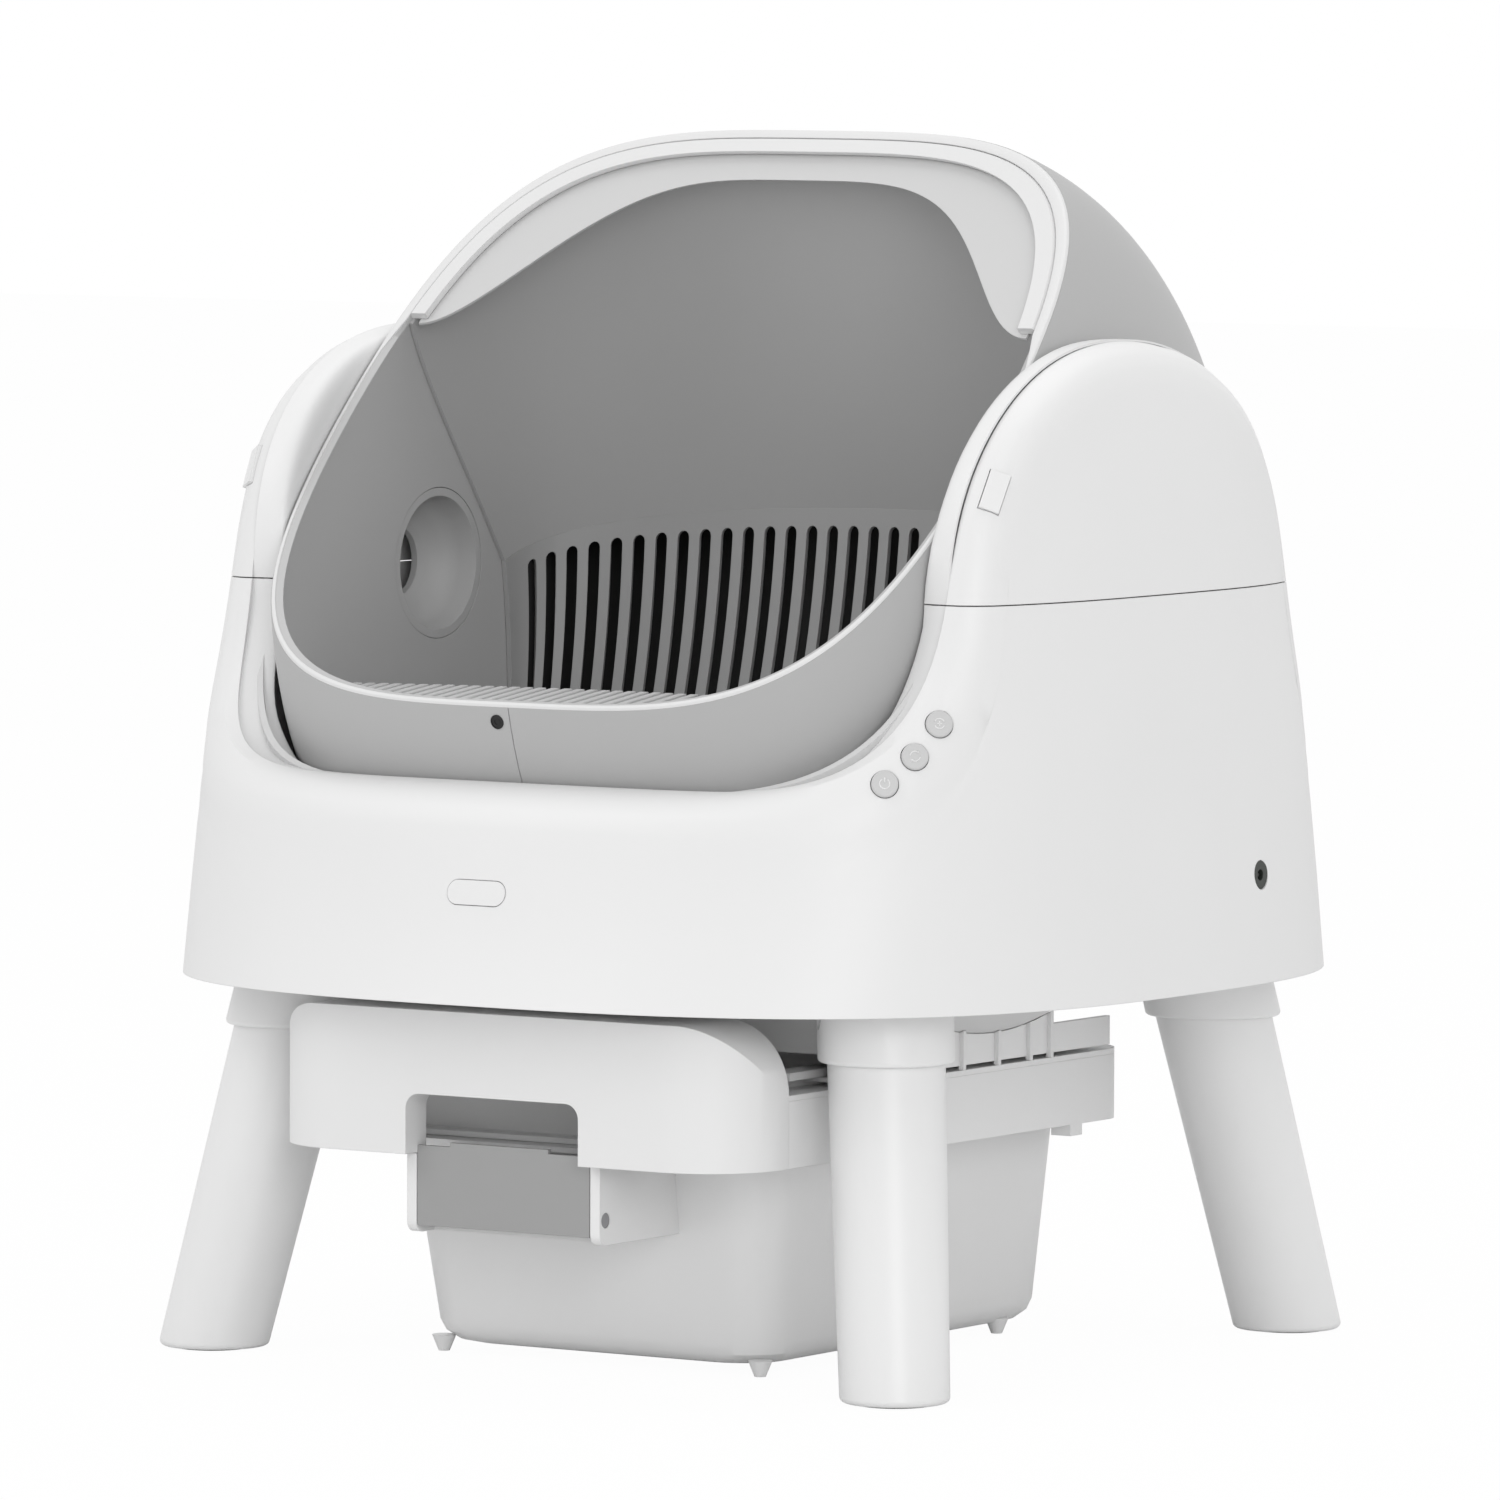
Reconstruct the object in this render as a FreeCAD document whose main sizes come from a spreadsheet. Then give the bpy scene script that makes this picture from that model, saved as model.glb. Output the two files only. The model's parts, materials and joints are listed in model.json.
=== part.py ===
"""Self-cleaning litter box: an open rotating drum in a footed base, over a pull-out waste drawer.

Millimetres, +Z up. The origin is the centre of the rectangle of the four feet, on the floor.
+X is the right side of a person who faces the front, and the front faces -Y.
The drum turns about an axis along X.
"""
import FreeCAD, Part

import math
import os
import re

import Sketcher

Vector = FreeCAD.Vector
Rotation = FreeCAD.Rotation
Placement = FreeCAD.Placement

# Driving sizes: alias, value in millimetres (or degrees, or a plain count).
SIZES = (
    # drum
    ("axis_height", 410.0),
    ("drum_half_length", 213.0),
    ("drum_radius", 245.0),
    ("drum_squareness", 3.6),
    ("drum_wall", 3.0),
    ("drum_seam_gap", 0.4),
    ("mouth_slope", 44.5),
    ("mouth_setback", 120.2),
    ("liner_wall", 2.0),
    ("liner_reach", 45.0),
    ("fit_gap", 0.3),
    ("running_fit", 0.05),
    ("bead_width", 5.4),
    ("bead_height", 2.2),
    ("trim_width", 9.3),
    ("trim_height", 3.6),
    ("trim_start", 63.0),
    ("guard_drop", 1.9),
    ("guard_wall", 1.6),
    ("guard_crown_width", 20.0),
    ("guard_tuck", 4.0),
    ("back_wall_thickness", 2.6),
    ("back_wall_sag", 10.0),
    ("sieve_crown_depth", 140.0),
    ("sieve_crown_rise", 30.0),
    ("sieve_side_depth", 60.0),
    ("sieve_side_drop", 1.0),
    ("sieve_foot_depth", -30.0),
    ("sieve_foot_inset", 40.0),
    ("sieve_wall", 3.0),
    ("sieve_sag", 46.0),
    ("slot_width", 6.8),
    ("slot_pitch", 12.6),
    ("slot_margin", 13.0),
    ("slot_sway", 15.0),
    ("step_drop", 63.0),
    ("step_depth", 150.0),
    ("step_bulge", 42.0),
    ("step_wall", 3.0),
    ("ridge_length", 60.0),
    ("ridge_width", 2.0),
    ("ridge_pitch", 19.0),
    ("ridge_rise", 1.0),
    ("ridge_lean", 38.0),
    ("ridge_setback", 50.0),
    ("dish_radius", 36.5),
    ("dish_hole_radius", 19.0),
    ("dish_depth", 27.0),
    ("left_journal_radius", 41.0),
    ("right_journal_radius", 30.0),
    ("hub_flange_radius", 58.0),
    ("hub_flange_wall", 3.0),
    ("seam_screw_radius", 4.0),
    ("seam_screw_drop", 67.0),
    ("seam_screw_shift", 8.0),
    # drive
    ("gear_offset", 13.6),
    ("gear_module", 2.0),
    ("gear_teeth", 60.0),
    ("pinion_teeth", 15.0),
    ("gear_face", 7.0),
    ("gear_backlash", 0.35),
    ("mesh_clearance", 0.1),
    ("pinion_shaft_radius", 3.0),
    ("motor_gap", 1.5),
    ("motor_box", 18.0),
    ("motor_box_top", 16.0),
    ("motor_box_drop", 34.0),
    ("motor_can_radius", 8.5),
    ("motor_can_length", 58.0),
    # base shell
    ("shell_wall", 3.0),
    ("shell_drop", 210.0),
    ("shoulder_reach", 52.6),
    ("brow_reach", 53.0),
    ("shell_taper", 0.1015),
    ("shell_flare", 28.0),
    ("shell_flare_height", 60.0),
    ("shell_squareness", 3.25),
    ("lip_setback", 13.0),
    ("lip_drop", 98.0),
    ("lip_squareness", 5.45),
    ("seam_drop", 2.0),
    ("seam_gap", 0.6),
    ("arch_half_width", 158.0),
    ("arch_rise", 133.0),
    ("edge_roll", 22.0),
    ("corner_roll", 12.0),
    # cradle under the drum
    ("cradle_clearance", 11.0),
    ("cradle_gap", 9.0),
    ("cradle_squareness", 3.7),
    ("cradle_wall", 3.0),
    ("port_half_width", 112.0),
    ("port_front", 98.0),
    ("port_rear", 56.0),
    # underside
    ("floor_lift", 3.0),
    ("floor_wall", 3.0),
    ("pedestal_gap", 1.4),
    ("pedestal_thickness", 9.0),
    ("pedestal_half_width", 50.0),
    ("pedestal_window", 18.3),
    ("pedestal_window_drop", 53.0),
    # legs
    ("foot_inset_x", 61.6),
    ("foot_inset_y", 85.7),
    ("leg_splay_x", 9.25),
    ("leg_splay_y", 11.3),
    ("leg_foot_radius", 28.5),
    ("leg_top_radius", 31.0),
    ("leg_wall", 2.6),
    ("leg_sole", 5.0),
    ("leg_edge", 3.0),
    ("pad_height", 1.0),
    ("pad_disc_radius", 20.0),
    ("socket_radius", 35.5),
    ("socket_drop", 31.0),
    ("socket_edge", 2.0),
    ("leg_screw_radius", 4.5),
    ("leg_screw_drop", 10.0),
    # chute and rails
    ("chute_front", 150.0),
    ("chute_rear", 57.0),
    ("chute_drop", 252.5),
    ("chute_wall", 3.0),
    ("chute_rib", 2.4),
    ("rail_rear", 118.0),
    ("rail_rise", 13.5),
    ("rail_width", 20.0),
    ("rail_wall", 2.4),
    # drawer
    ("drawer_half_width", 150.0),
    ("drawer_rear", 141.0),
    ("drawer_front", 200.0),
    ("drawer_gap", 2.5),
    ("drawer_height", 38.0),
    ("drawer_wall", 3.0),
    ("drawer_corner", 25.0),
    ("fascia_depth", 52.0),
    ("fascia_height", 76.0),
    ("fascia_corner", 46.0),
    ("fascia_shoulder", 38.0),
    ("notch_half_width", 54.0),
    ("notch_height", 32.0),
    ("notch_corner", 8.0),
    ("notch_return", 19.0),
    # bin
    ("bin_bottom", 6.0),
    ("bin_top_drop", 8.0),
    ("bin_side_room", 28.5),
    ("bin_front_room", 24.0),
    ("bin_rear_room", 11.0),
    ("bin_side_draft", 14.5),
    ("bin_front_draft", 19.0),
    ("bin_rear_draft", 4.0),
    ("bin_corner", 26.0),
    ("bin_round", 12.0),
    ("bin_wall", 2.5),
    ("bin_flange", 11.0),
    ("nub_height", 5.0),
    ("nub_inset", 7.0),
    ("nub_front_inset", 8.0),
    ("nub_rear_inset", 41.0),
    # bin handle
    ("handle_half_width", 54.0),
    ("handle_setback", 11.0),
    ("handle_drop", 38.0),
    ("handle_height", 42.0),
    ("handle_wall", 3.0),
    ("handle_pin_rise", 9.0),
    ("handle_pin_radius", 4.0),
    ("ear_wall", 6.0),
    ("ear_gap", 0.5),
    # controls
    ("button_radius", 7.0),
    ("button_height", 7.0),
    ("button_proud", 1.4),
    ("button_gap", 0.35),
    ("window_length", 36.0),
    ("window_width", 13.0),
    ("window_rise", 57.0),
    ("board_half_width", 70.0),
    ("board_height", 40.0),
    ("board_wall", 1.6),
    ("board_setback", 7.0),
    ("jack_rise", 57.0),
    ("jack_y", 75.0),
    ("jack_radius", 7.5),
    ("latch_length", 22.0),
    ("latch_width", 11.0),
)

# Sizes that follow from the driving ones.
DERIVED = {
    "mouth_distance": "drum_radius - mouth_setback",
    "sieve_crown_height": "axis_height + sieve_crown_rise",
    "sieve_side_height": "axis_height - sieve_side_drop",
    "step_height": "axis_height - step_drop",
    "gear_plane": "drum_half_length + gear_offset",
    "cradle_half_width": "drum_half_length + cradle_clearance",
    "cradle_radius": "drum_radius + cradle_gap",
    "lip_half_width": "cradle_half_width",
    "lip_half_depth": "drum_radius - lip_setback",
    "lip_front_height": "axis_height - lip_drop",
    "shell_half_width": "lip_half_width + shoulder_reach",
    "shell_half_depth": "lip_half_depth + brow_reach",
    "shell_bottom": "axis_height - shell_drop",
    "seam_height": "axis_height - seam_drop",
    "arch_top": "seam_height + arch_rise",
    "floor_height": "shell_bottom + floor_lift",
    "pedestal_inner_plane": "gear_plane + gear_face + pedestal_gap",
    "pedestal_window_top": "axis_height - pedestal_window_drop",
    "foot_x": "shell_half_width - foot_inset_x",
    "foot_y": "shell_half_depth - foot_inset_y",
    "leg_screw_height": "floor_height - leg_screw_drop",
    "chute_half_width": "drawer_half_width",
    "chute_bottom": "axis_height - chute_drop",
    "rail_top": "chute_bottom + rail_rise",
    "drawer_top": "chute_bottom - drawer_gap",
    "drawer_bottom": "drawer_top - drawer_height",
    "fascia_front": "drawer_front + fascia_depth",
    "bin_top": "drawer_top - bin_top_drop",
    "bin_half_width": "drawer_half_width - bin_side_room",
    "bin_front": "drawer_front - bin_front_room",
    "bin_rear": "drawer_rear - bin_rear_room",
    "bin_foot_half_width": "bin_half_width - bin_side_draft",
    "bin_foot_front": "bin_front - bin_front_draft",
    "bin_foot_rear": "bin_rear - bin_rear_draft",
    "nub_x": "bin_foot_half_width - nub_inset",
    "nub_front": "bin_foot_front - nub_front_inset",
    "nub_rear": "bin_foot_rear - nub_rear_inset",
    "handle_front": "fascia_front - handle_setback",
    "handle_low": "drawer_bottom - handle_drop",
    "handle_high": "handle_low + handle_height",
    "handle_pin_height": "handle_low + handle_pin_rise",
    "window_height": "shell_bottom + window_rise",
    "jack_height": "shell_bottom + jack_rise",
}

RING_POINTS_PER_QUARTER = 22
ROLL_ANGLES = (0.0, 22.5, 45.0, 67.5, 90.0)
WALL_STEPS = (0.25, 0.5, 0.75, 1.0)
BUTTON_STATIONS = ((0.387, 58.0), (0.420, 52.0), (0.455, 47.0))
LATCH_STATION = (0.687, 41.0)
CORNER_SHARE = 0.42
CORNER_SPREAD = 0.12
BELL_POWER = 1.93
SWAY_SHARE = 0.4
# How deep one solid is set into the next so that they join.
BOND = 0.01
SLOT_STEPS = 16
# Components on the control board: start across, width, depth and height.
BOARD_PARTS = ((-50.0, 24.0, 4.4, 21.0), (0.0, 14.0, 6.4, 28.0))

os.makedirs("parts", exist_ok=True)
doc = FreeCAD.newDocument("litter_box")

sheet = doc.addObject("Spreadsheet::Sheet", "Sizes")
for row, (alias, value) in enumerate(SIZES, start=1):
    sheet.set("A%d" % row, alias)
    sheet.set("B%d" % row, repr(value))
    sheet.setAlias("B%d" % row, alias)
doc.recompute()

ALIASES = {alias for alias, _ in SIZES}
NODES = []


def bound(text):
    """Expression text with each alias pointed at the sheet and each derived size written out."""
    def written_out(match):
        word = match[0]
        if word in DERIVED:
            return "(" + bound(DERIVED[word]) + ")"
        return "Sizes." + word if word in ALIASES else word
    return re.sub(r"[a-z][a-z_]*", written_out, text)


def number(text):
    """Value that an expression has now."""
    return float(sheet.evalExpression(bound(str(text))))


VALUES = {alias: number(alias) for alias in [name for name, _ in SIZES] + list(DERIVED)}


def size(alias):
    """Value of one driving or derived size."""
    return VALUES[alias]


def bind(thing, **fields):
    """Bind properties, named with __ for a dot, to expressions."""
    for name, text in fields.items():
        thing.setExpression(name.replace("__", "."), bound(str(text)))
    return thing


def place(thing, x="0", y="0", z="0"):
    """Bind the place of an object to expressions."""
    return bind(thing, Placement__Base__x=x, Placement__Base__y=y, Placement__Base__z=z)


def node(thing, label):
    """Mark an object as a finished piece under its name."""
    thing.Label = label
    NODES.append(thing)
    return thing


def shape_node(label, shape):
    """Finished piece whose free-form shape is computed below."""
    feature = doc.addObject("Part::Feature", "Shape_" + label)
    feature.Shape = shape
    return node(feature, label)


# Primitives and booleans of the document


def block(x, y, z, length, width, height):
    """Box from its low corner and its three sides, all expressions."""
    thing = doc.addObject("Part::Box", "Block")
    bind(thing, Length=length, Width=width, Height=height)
    return place(thing, x, y, z)


def rod(radius, height, x="0", y="0", z="0", axis=None):
    """Cylinder from its start, along Z or another axis."""
    thing = doc.addObject("Part::Cylinder", "Rod")
    bind(thing, Radius=radius, Height=height)
    if axis is not None:
        thing.Placement = Placement(Vector(), Rotation(Vector(0, 0, 1), axis))
    return place(thing, x, y, z)


def cut(base, tool):
    thing = doc.addObject("Part::Cut", "Cut")
    thing.Base = base
    thing.Tool = tool
    return thing


def fuse(*pieces):
    thing = doc.addObject("Part::MultiFuse", "Join")
    thing.Shapes = list(pieces)
    return thing


# Bodies made from sketches


def origin_item(body, role):
    return next(item for item in body.Origin.OriginFeatures if item.Role == role)


def outline_sketch(body, role, points):
    """Closed polygon whose corners are each bound to a pair of expressions."""
    sketch = body.newObject("Sketcher::SketchObject", "Outline")
    sketch.AttachmentSupport = [(origin_item(body, role), "")]
    sketch.MapMode = "FlatFace"
    corners = [Vector(number(x), number(y), 0) for x, y in points]
    count = len(corners)
    for i in range(count):
        sketch.addGeometry(Part.LineSegment(corners[i], corners[(i + 1) % count]), False)
    for i in range(count):
        sketch.addConstraint(Sketcher.Constraint("Coincident", i, 2, (i + 1) % count, 1))
    for i, (x, y) in enumerate(points):
        index = sketch.addConstraint(Sketcher.Constraint("DistanceX", -1, 1, i, 1, corners[i].x))
        sketch.setExpression("Constraints[%d]" % index, bound(x))
        index = sketch.addConstraint(Sketcher.Constraint("DistanceY", -1, 1, i, 1, corners[i].y))
        sketch.setExpression("Constraints[%d]" % index, bound(y))
    return sketch


def padded(label, role, points, length, x="0", y="0", z="0", midplane=False):
    """Body with one padded outline."""
    body = doc.addObject("PartDesign::Body", "Body_" + label)
    sketch = outline_sketch(body, role, points)
    pad = body.newObject("PartDesign::Pad", "Pad")
    pad.Profile = sketch
    pad.SideType = "Symmetric" if midplane else "One side"
    bind(pad, Length=length)
    place(body, x, y, z)
    return body


def turned(label, points, x="0", y="0", z="0"):
    """Body turned about the X axis from an outline of (x, radius) corners."""
    body = doc.addObject("PartDesign::Body", "Body_" + label)
    sketch = outline_sketch(body, "XZ_Plane", points)
    turn = body.newObject("PartDesign::Revolution", "Turn")
    turn.Profile = sketch
    turn.ReferenceAxis = (origin_item(body, "X_Axis"), [""])
    turn.Angle = 360.0
    place(body, x, y, z)
    return body


# Curves and surfaces computed from the sizes


def spline_edge(points, periodic=False):
    curve = Part.BSplineCurve()
    curve.interpolate(Points=points, PeriodicFlag=periodic)
    return curve.toShape()


def ring_solid(rows):
    """Closed solid round a ring: each row is a closed loop of points, and the last joins the first."""
    edges = [spline_edge(row, True) for row in rows]
    faces = []
    for first, second in zip(edges, edges[1:] + edges[:1]):
        faces.extend(Part.makeRuledSurface(first, second).Faces)
    solid = Part.Solid(Part.Shell(faces))
    if solid.Volume < 0:
        solid.reverse()
    return solid


def sheet_solid(front, back):
    """Thin solid between two grids of points, front and back, each a list of rows."""
    faces = []
    front_edges = [spline_edge(row) for row in front]
    back_edges = [spline_edge(row) for row in back]
    for edges in (front_edges, back_edges):
        for first, second in zip(edges, edges[1:]):
            faces.extend(Part.makeRuledSurface(first, second).Faces)
    for end in (0, -1):
        faces.extend(Part.makeRuledSurface(front_edges[end], back_edges[end]).Faces)
        for (low_f, high_f), (low_b, high_b) in zip(zip(front, front[1:]), zip(back, back[1:])):
            first = Part.LineSegment(low_f[end], high_f[end]).toShape()
            second = Part.LineSegment(low_b[end], high_b[end]).toShape()
            faces.extend(Part.makeRuledSurface(first, second).Faces)
    shell = Part.Shell(faces)
    shell.sewShape()
    solid = Part.Solid(shell)
    if solid.Volume < 0:
        solid.reverse()
    return solid


def drum_radius_at(x, half, radius, power):
    """Radius of the barrel's rounded profile at a distance x from its middle."""
    share = min(abs(x) / half, 1.0)
    return radius * (1 - share ** power) ** (1 / power)


def barrel(half, radius, power, steps=24):
    """Solid barrel turned about the drum's axis from a rounded profile."""
    points = []
    for i in range(steps + 1):
        angle = math.pi * i / steps
        side, rise = math.cos(angle), math.sin(angle)
        x = half * math.copysign(abs(side) ** (2 / power), side)
        points.append(Vector(x, 0, radius * abs(rise) ** (2 / power)))
    points[0].z = points[-1].z = 0.0
    profile = Part.Wire([spline_edge(points), Part.LineSegment(points[-1], points[0]).toShape()])
    solid = Part.Face(profile).revolve(Vector(), Vector(1, 0, 0), 360)
    solid.translate(Vector(0, 0, size("axis_height")))
    return solid


def mouth_place():
    """Frame of the drum's mouth: X across, Y up the slope, Z outwards, at the foot of the axis."""
    turn = Rotation(Vector(1, 0, 0), size("mouth_slope"))
    outward = turn.multVec(Vector(0, 0, 1))
    return Placement(Vector(0, 0, size("axis_height")) + outward * size("mouth_distance"), turn)


def beyond_mouth(lift=0.0):
    """Block that holds everything outside the mouth's plane, moved out by lift."""
    reach = 2 * size("drum_radius")
    tool = Part.makeBox(2 * reach, 2 * reach, reach, Vector(-reach, -reach, lift))
    tool.Placement = mouth_place()
    return tool


def mouth_loop(inset, lift, count=48):
    """Closed loop of points round the mouth, inset from the barrel's skin and lifted off the plane."""
    half = size("drum_half_length") - inset
    radius = size("drum_radius") - inset
    power = size("drum_squareness")
    level = size("mouth_distance") + lift
    end = half * (1 - (level / radius) ** power) ** (1 / power)
    frame = mouth_place()
    loop = []
    for i in range(count):
        angle = 2 * math.pi * (i + 0.5) / count - math.pi / 2
        side, rise = math.cos(angle), math.sin(angle)
        x = end * math.copysign(abs(side) ** (1 / 1.3), side)
        reach = math.sqrt(max(drum_radius_at(x, half, radius, power) ** 2 - level ** 2, 0.0))
        loop.append(frame.multVec(Vector(x, math.copysign(reach, rise), lift)))
    return loop


def hood_arc(inset, lift, start, count=25):
    """Open row of points along the upper rim, from one corner over the top to the other."""
    half = size("drum_half_length") - inset
    radius = size("drum_radius") - inset
    power = size("drum_squareness")
    level = size("mouth_distance") + lift
    needed = math.hypot(start, level)
    end = half * (1 - (needed / radius) ** power) ** (1 / power)
    frame = mouth_place()
    row = []
    for i in range(count):
        angle = math.pi * i / (count - 1)
        x = -end * math.cos(angle)
        reach = math.sqrt(drum_radius_at(x, half, radius, power) ** 2 - level ** 2)
        row.append(frame.multVec(Vector(x, reach, lift)))
    return row


def hull(z):
    """Half width, half depth and squareness of the base's outer form at a height."""
    above = z - size("shell_bottom")
    fade = math.exp(-above / size("shell_flare_height"))
    half_width = size("shell_half_width") - size("shell_taper") * above
    straight = size("shell_half_depth") - size("shell_flare")
    half_depth = straight + size("shell_flare") * fade - 0.03 * above
    return half_width, half_depth, size("shell_squareness") - 0.45 * fade


def hull_point(angle, z, inset=0.0):
    """Point of the base's outer form in a direction seen from above, at a height."""
    half_width, half_depth, power = hull(z)
    across, along = math.cos(angle), math.sin(angle)
    width = abs(across / (half_width - inset)) ** power
    depth = abs(along / (half_depth - inset)) ** power
    reach = (width + depth) ** (-1 / power)
    return Vector(reach * across, reach * along, z)


def outside_hull(point, inset):
    half_width, half_depth, power = hull(point.z)
    width = (abs(point.x) / (half_width - inset)) ** power
    return width + (abs(point.y) / (half_depth - inset)) ** power > 1


def lip_height(y, drop=0.0):
    """Height of the front scoop's edge over a depth y, between the front lip and the arms."""
    half, low = size("lip_half_depth"), size("lip_front_height") - drop
    width = size("arch_half_width") - drop
    share = min(max((half - abs(y)) / (half - width), 0.0), 1.0)
    power = 1.5
    return size("seam_height") - (size("seam_height") - low) * (1 - share ** power) ** (1 / power)


def lip_x(y):
    half, depth, power = size("lip_half_width"), size("lip_half_depth"), size("lip_squareness")
    return half * (1 - min(abs(y) / depth, 1.0) ** power) ** (1 / power)


def arch_point(angle, drop=0.0):
    """Depth and height of the shoulder's arch at an angle from the seam, 0 to a right angle."""
    width = size("arch_half_width") - drop
    rise = size("arch_top") - drop - size("seam_height")
    power = 2.2
    y = -width * math.cos(angle) ** (2 / power)
    return y, size("seam_height") + rise * math.sin(angle) ** (2 / power)


def evenly(points, count):
    """The same line through points at equal steps along its length."""
    marks = [0.0]
    for first, second in zip(points, points[1:]):
        marks.append(marks[-1] + (second - first).Length)
    spaced, k = [], 0
    for i in range(count + 1):
        mark = marks[-1] * i / count
        while k < len(marks) - 2 and marks[k + 1] < mark:
            k += 1
        share = (mark - marks[k]) / (marks[k + 1] - marks[k])
        spaced.append(points[k] + (points[k + 1] - points[k]) * share)
    return spaced


def softened(points):
    """The line with its corners eased, and its ends kept on the planes of symmetry."""
    middle = [(a + b * 2 + c) * 0.25 for a, b, c in zip(points, points[1:], points[2:])]
    first = (points[0] + points[1]) * 0.5
    last = (points[-1] + points[-2]) * 0.5
    first.x = 0.0
    last.y = 0.0
    return [first] + middle + [last]


def lip_quarter():
    """Edge of the base's opening from the front centre to the top of the right shoulder."""
    fine = 400
    power = size("lip_squareness")
    front = []
    for i in range(fine + 1):
        x = 0.9 * size("lip_half_width") * i / fine
        y = -size("lip_half_depth") * (1 - (x / size("lip_half_width")) ** power) ** (1 / power)
        front.append(Vector(x, y, lip_height(y)))
    bend = []
    start = front[-1].y
    for i in range(1, fine + 1):
        y = start + (-size("arch_half_width") - start) * i / fine
        bend.append(Vector(lip_x(y), y, lip_height(y)))
    arch = []
    for i in range(1, fine + 1):
        y, z = arch_point(math.pi / 2 * i / fine)
        arch.append(Vector(lip_x(y), y, z))
    return softened(softened(evenly(front + bend + arch, RING_POINTS_PER_QUARTER)))


def around(quarter):
    """Whole loop from its front right quarter."""
    back = [Vector(p.x, -p.y, p.z) for p in reversed(quarter[:-1])]
    right = quarter + back
    left = [Vector(-p.x, p.y, p.z) for p in reversed(right[1:-1])]
    return right + left


def roll_drop(share):
    """How far the edge rolls down at a share of the lip's quarter, more round the front corner."""
    away = (share - CORNER_SHARE) / CORNER_SPREAD
    return size("edge_roll") + size("corner_roll") * math.exp(-away ** 2)


def lip_frames(quarter):
    """Each lip point with its outward and its downward direction and how far the edge rolls down."""
    frames = []
    for i, point in enumerate(quarter):
        along = quarter[min(i + 1, len(quarter) - 1)] - quarter[max(i - 1, 0)]
        if i == 0:
            along = Vector(1, 0, 0)
        if i == len(quarter) - 1:
            along = Vector(0, 1, 0)
        power = size("lip_squareness")
        width, depth = size("lip_half_width"), size("lip_half_depth")
        out = Vector((point.x / width) ** (power - 1) / width, 0, 0)
        out.y = -((-point.y / depth) ** (power - 1)) / depth if point.y < 0 else 0.0
        out.normalize()
        down = along.cross(out)
        down.normalize()
        frames.append((point, out, down, roll_drop(i / (len(quarter) - 1))))
    return frames


def roll_reach(point, out, down, drop, inset):
    """How far out the rolled edge goes before it meets the outer form."""
    near, far = 0.0, 90.0
    for _ in range(40):
        middle = (near + far) / 2
        if outside_hull(point + out * middle + down * drop, inset):
            far = middle
        else:
            near = middle
    return near


def skin_rows(inset):
    """Quarter rows of one skin of the base, from the lip over the rolled edge to the bottom."""
    frames = lip_frames(lip_quarter())
    reaches = [roll_reach(*frame, inset) for frame in frames]
    rows = []
    for degrees in ROLL_ANGLES:
        side, rest = math.sin(math.radians(degrees)), 1 - math.cos(math.radians(degrees))
        row = []
        for (point, out, down, drop), reach in zip(frames, reaches):
            row.append(point + out * (reach * side) + down * (inset + (drop - inset) * rest))
        rows.append(row)
    shoulder = rows[-1]
    bottom = size("shell_bottom")
    fine = [hull_point(-math.pi / 2 + math.pi / 2 * i / 400, bottom, inset) for i in range(401)]
    foot = evenly(fine, RING_POINTS_PER_QUARTER)
    for share in WALL_STEPS:
        row = []
        for top, low in zip(shoulder, foot):
            start, end = math.atan2(top.y, top.x), math.atan2(low.y, low.x)
            z = top.z + (bottom - top.z) * share
            row.append(hull_point(start + (end - start) * share, z, inset))
        row[0].x = 0.0
        row[-1].y = 0.0
        rows.append(row)
    return rows


def roll_station(share, degrees):
    """Point and outward normal on the rolled edge at a share of the lip's quarter length."""
    frames = lip_frames(lip_quarter())
    index = share * RING_POINTS_PER_QUARTER
    low = int(index)
    part = index - low
    point, out, down, drop = (a + (b - a) * part for a, b in zip(frames[low], frames[low + 1]))
    out.normalize()
    down.normalize()
    reach = roll_reach(point, out, down, drop, 0.0)
    side, rest = math.sin(math.radians(degrees)), 1 - math.cos(math.radians(degrees))
    spot = point + out * (reach * side) + down * (drop * rest)
    normal = out * (side / reach) - down * ((1 - rest) / drop)
    normal.normalize()
    along = out.cross(down)
    return spot, normal, along


def side_profile(drop):
    """Solid under the base's edge line seen from the side, lowered by drop, right across."""
    high = [Vector(0, *arch_point(math.pi / 2 * i / 12, drop)) for i in range(13)]
    arch = high + [Vector(0, -p.y, p.z) for p in reversed(high[:-1])]
    half = size("lip_half_depth")
    width = size("arch_half_width") - drop
    scoop = []
    for i in range(13):
        y = -half + (half - width) * i / 12
        scoop.append(Vector(0, y, lip_height(y, drop)))
    mirror = [Vector(0, -p.y, p.z) for p in reversed(scoop)]
    far = 1.5 * half
    corners = [Vector(0, far, mirror[-1].z), Vector(0, far, 0), Vector(0, -far, 0), Vector(0, -far, scoop[0].z)]
    edges = [spline_edge(scoop), spline_edge(arch), spline_edge(mirror)]
    for first, second in zip([mirror[-1]] + corners, corners + [scoop[0]]):
        edges.append(Part.LineSegment(first, second).toShape())
    reach = 2 * size("shell_half_width")
    solid = Part.Face(Part.Wire(edges)).extrude(Vector(reach, 0, 0))
    solid.translate(Vector(-reach / 2, 0, 0))
    return solid


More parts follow.
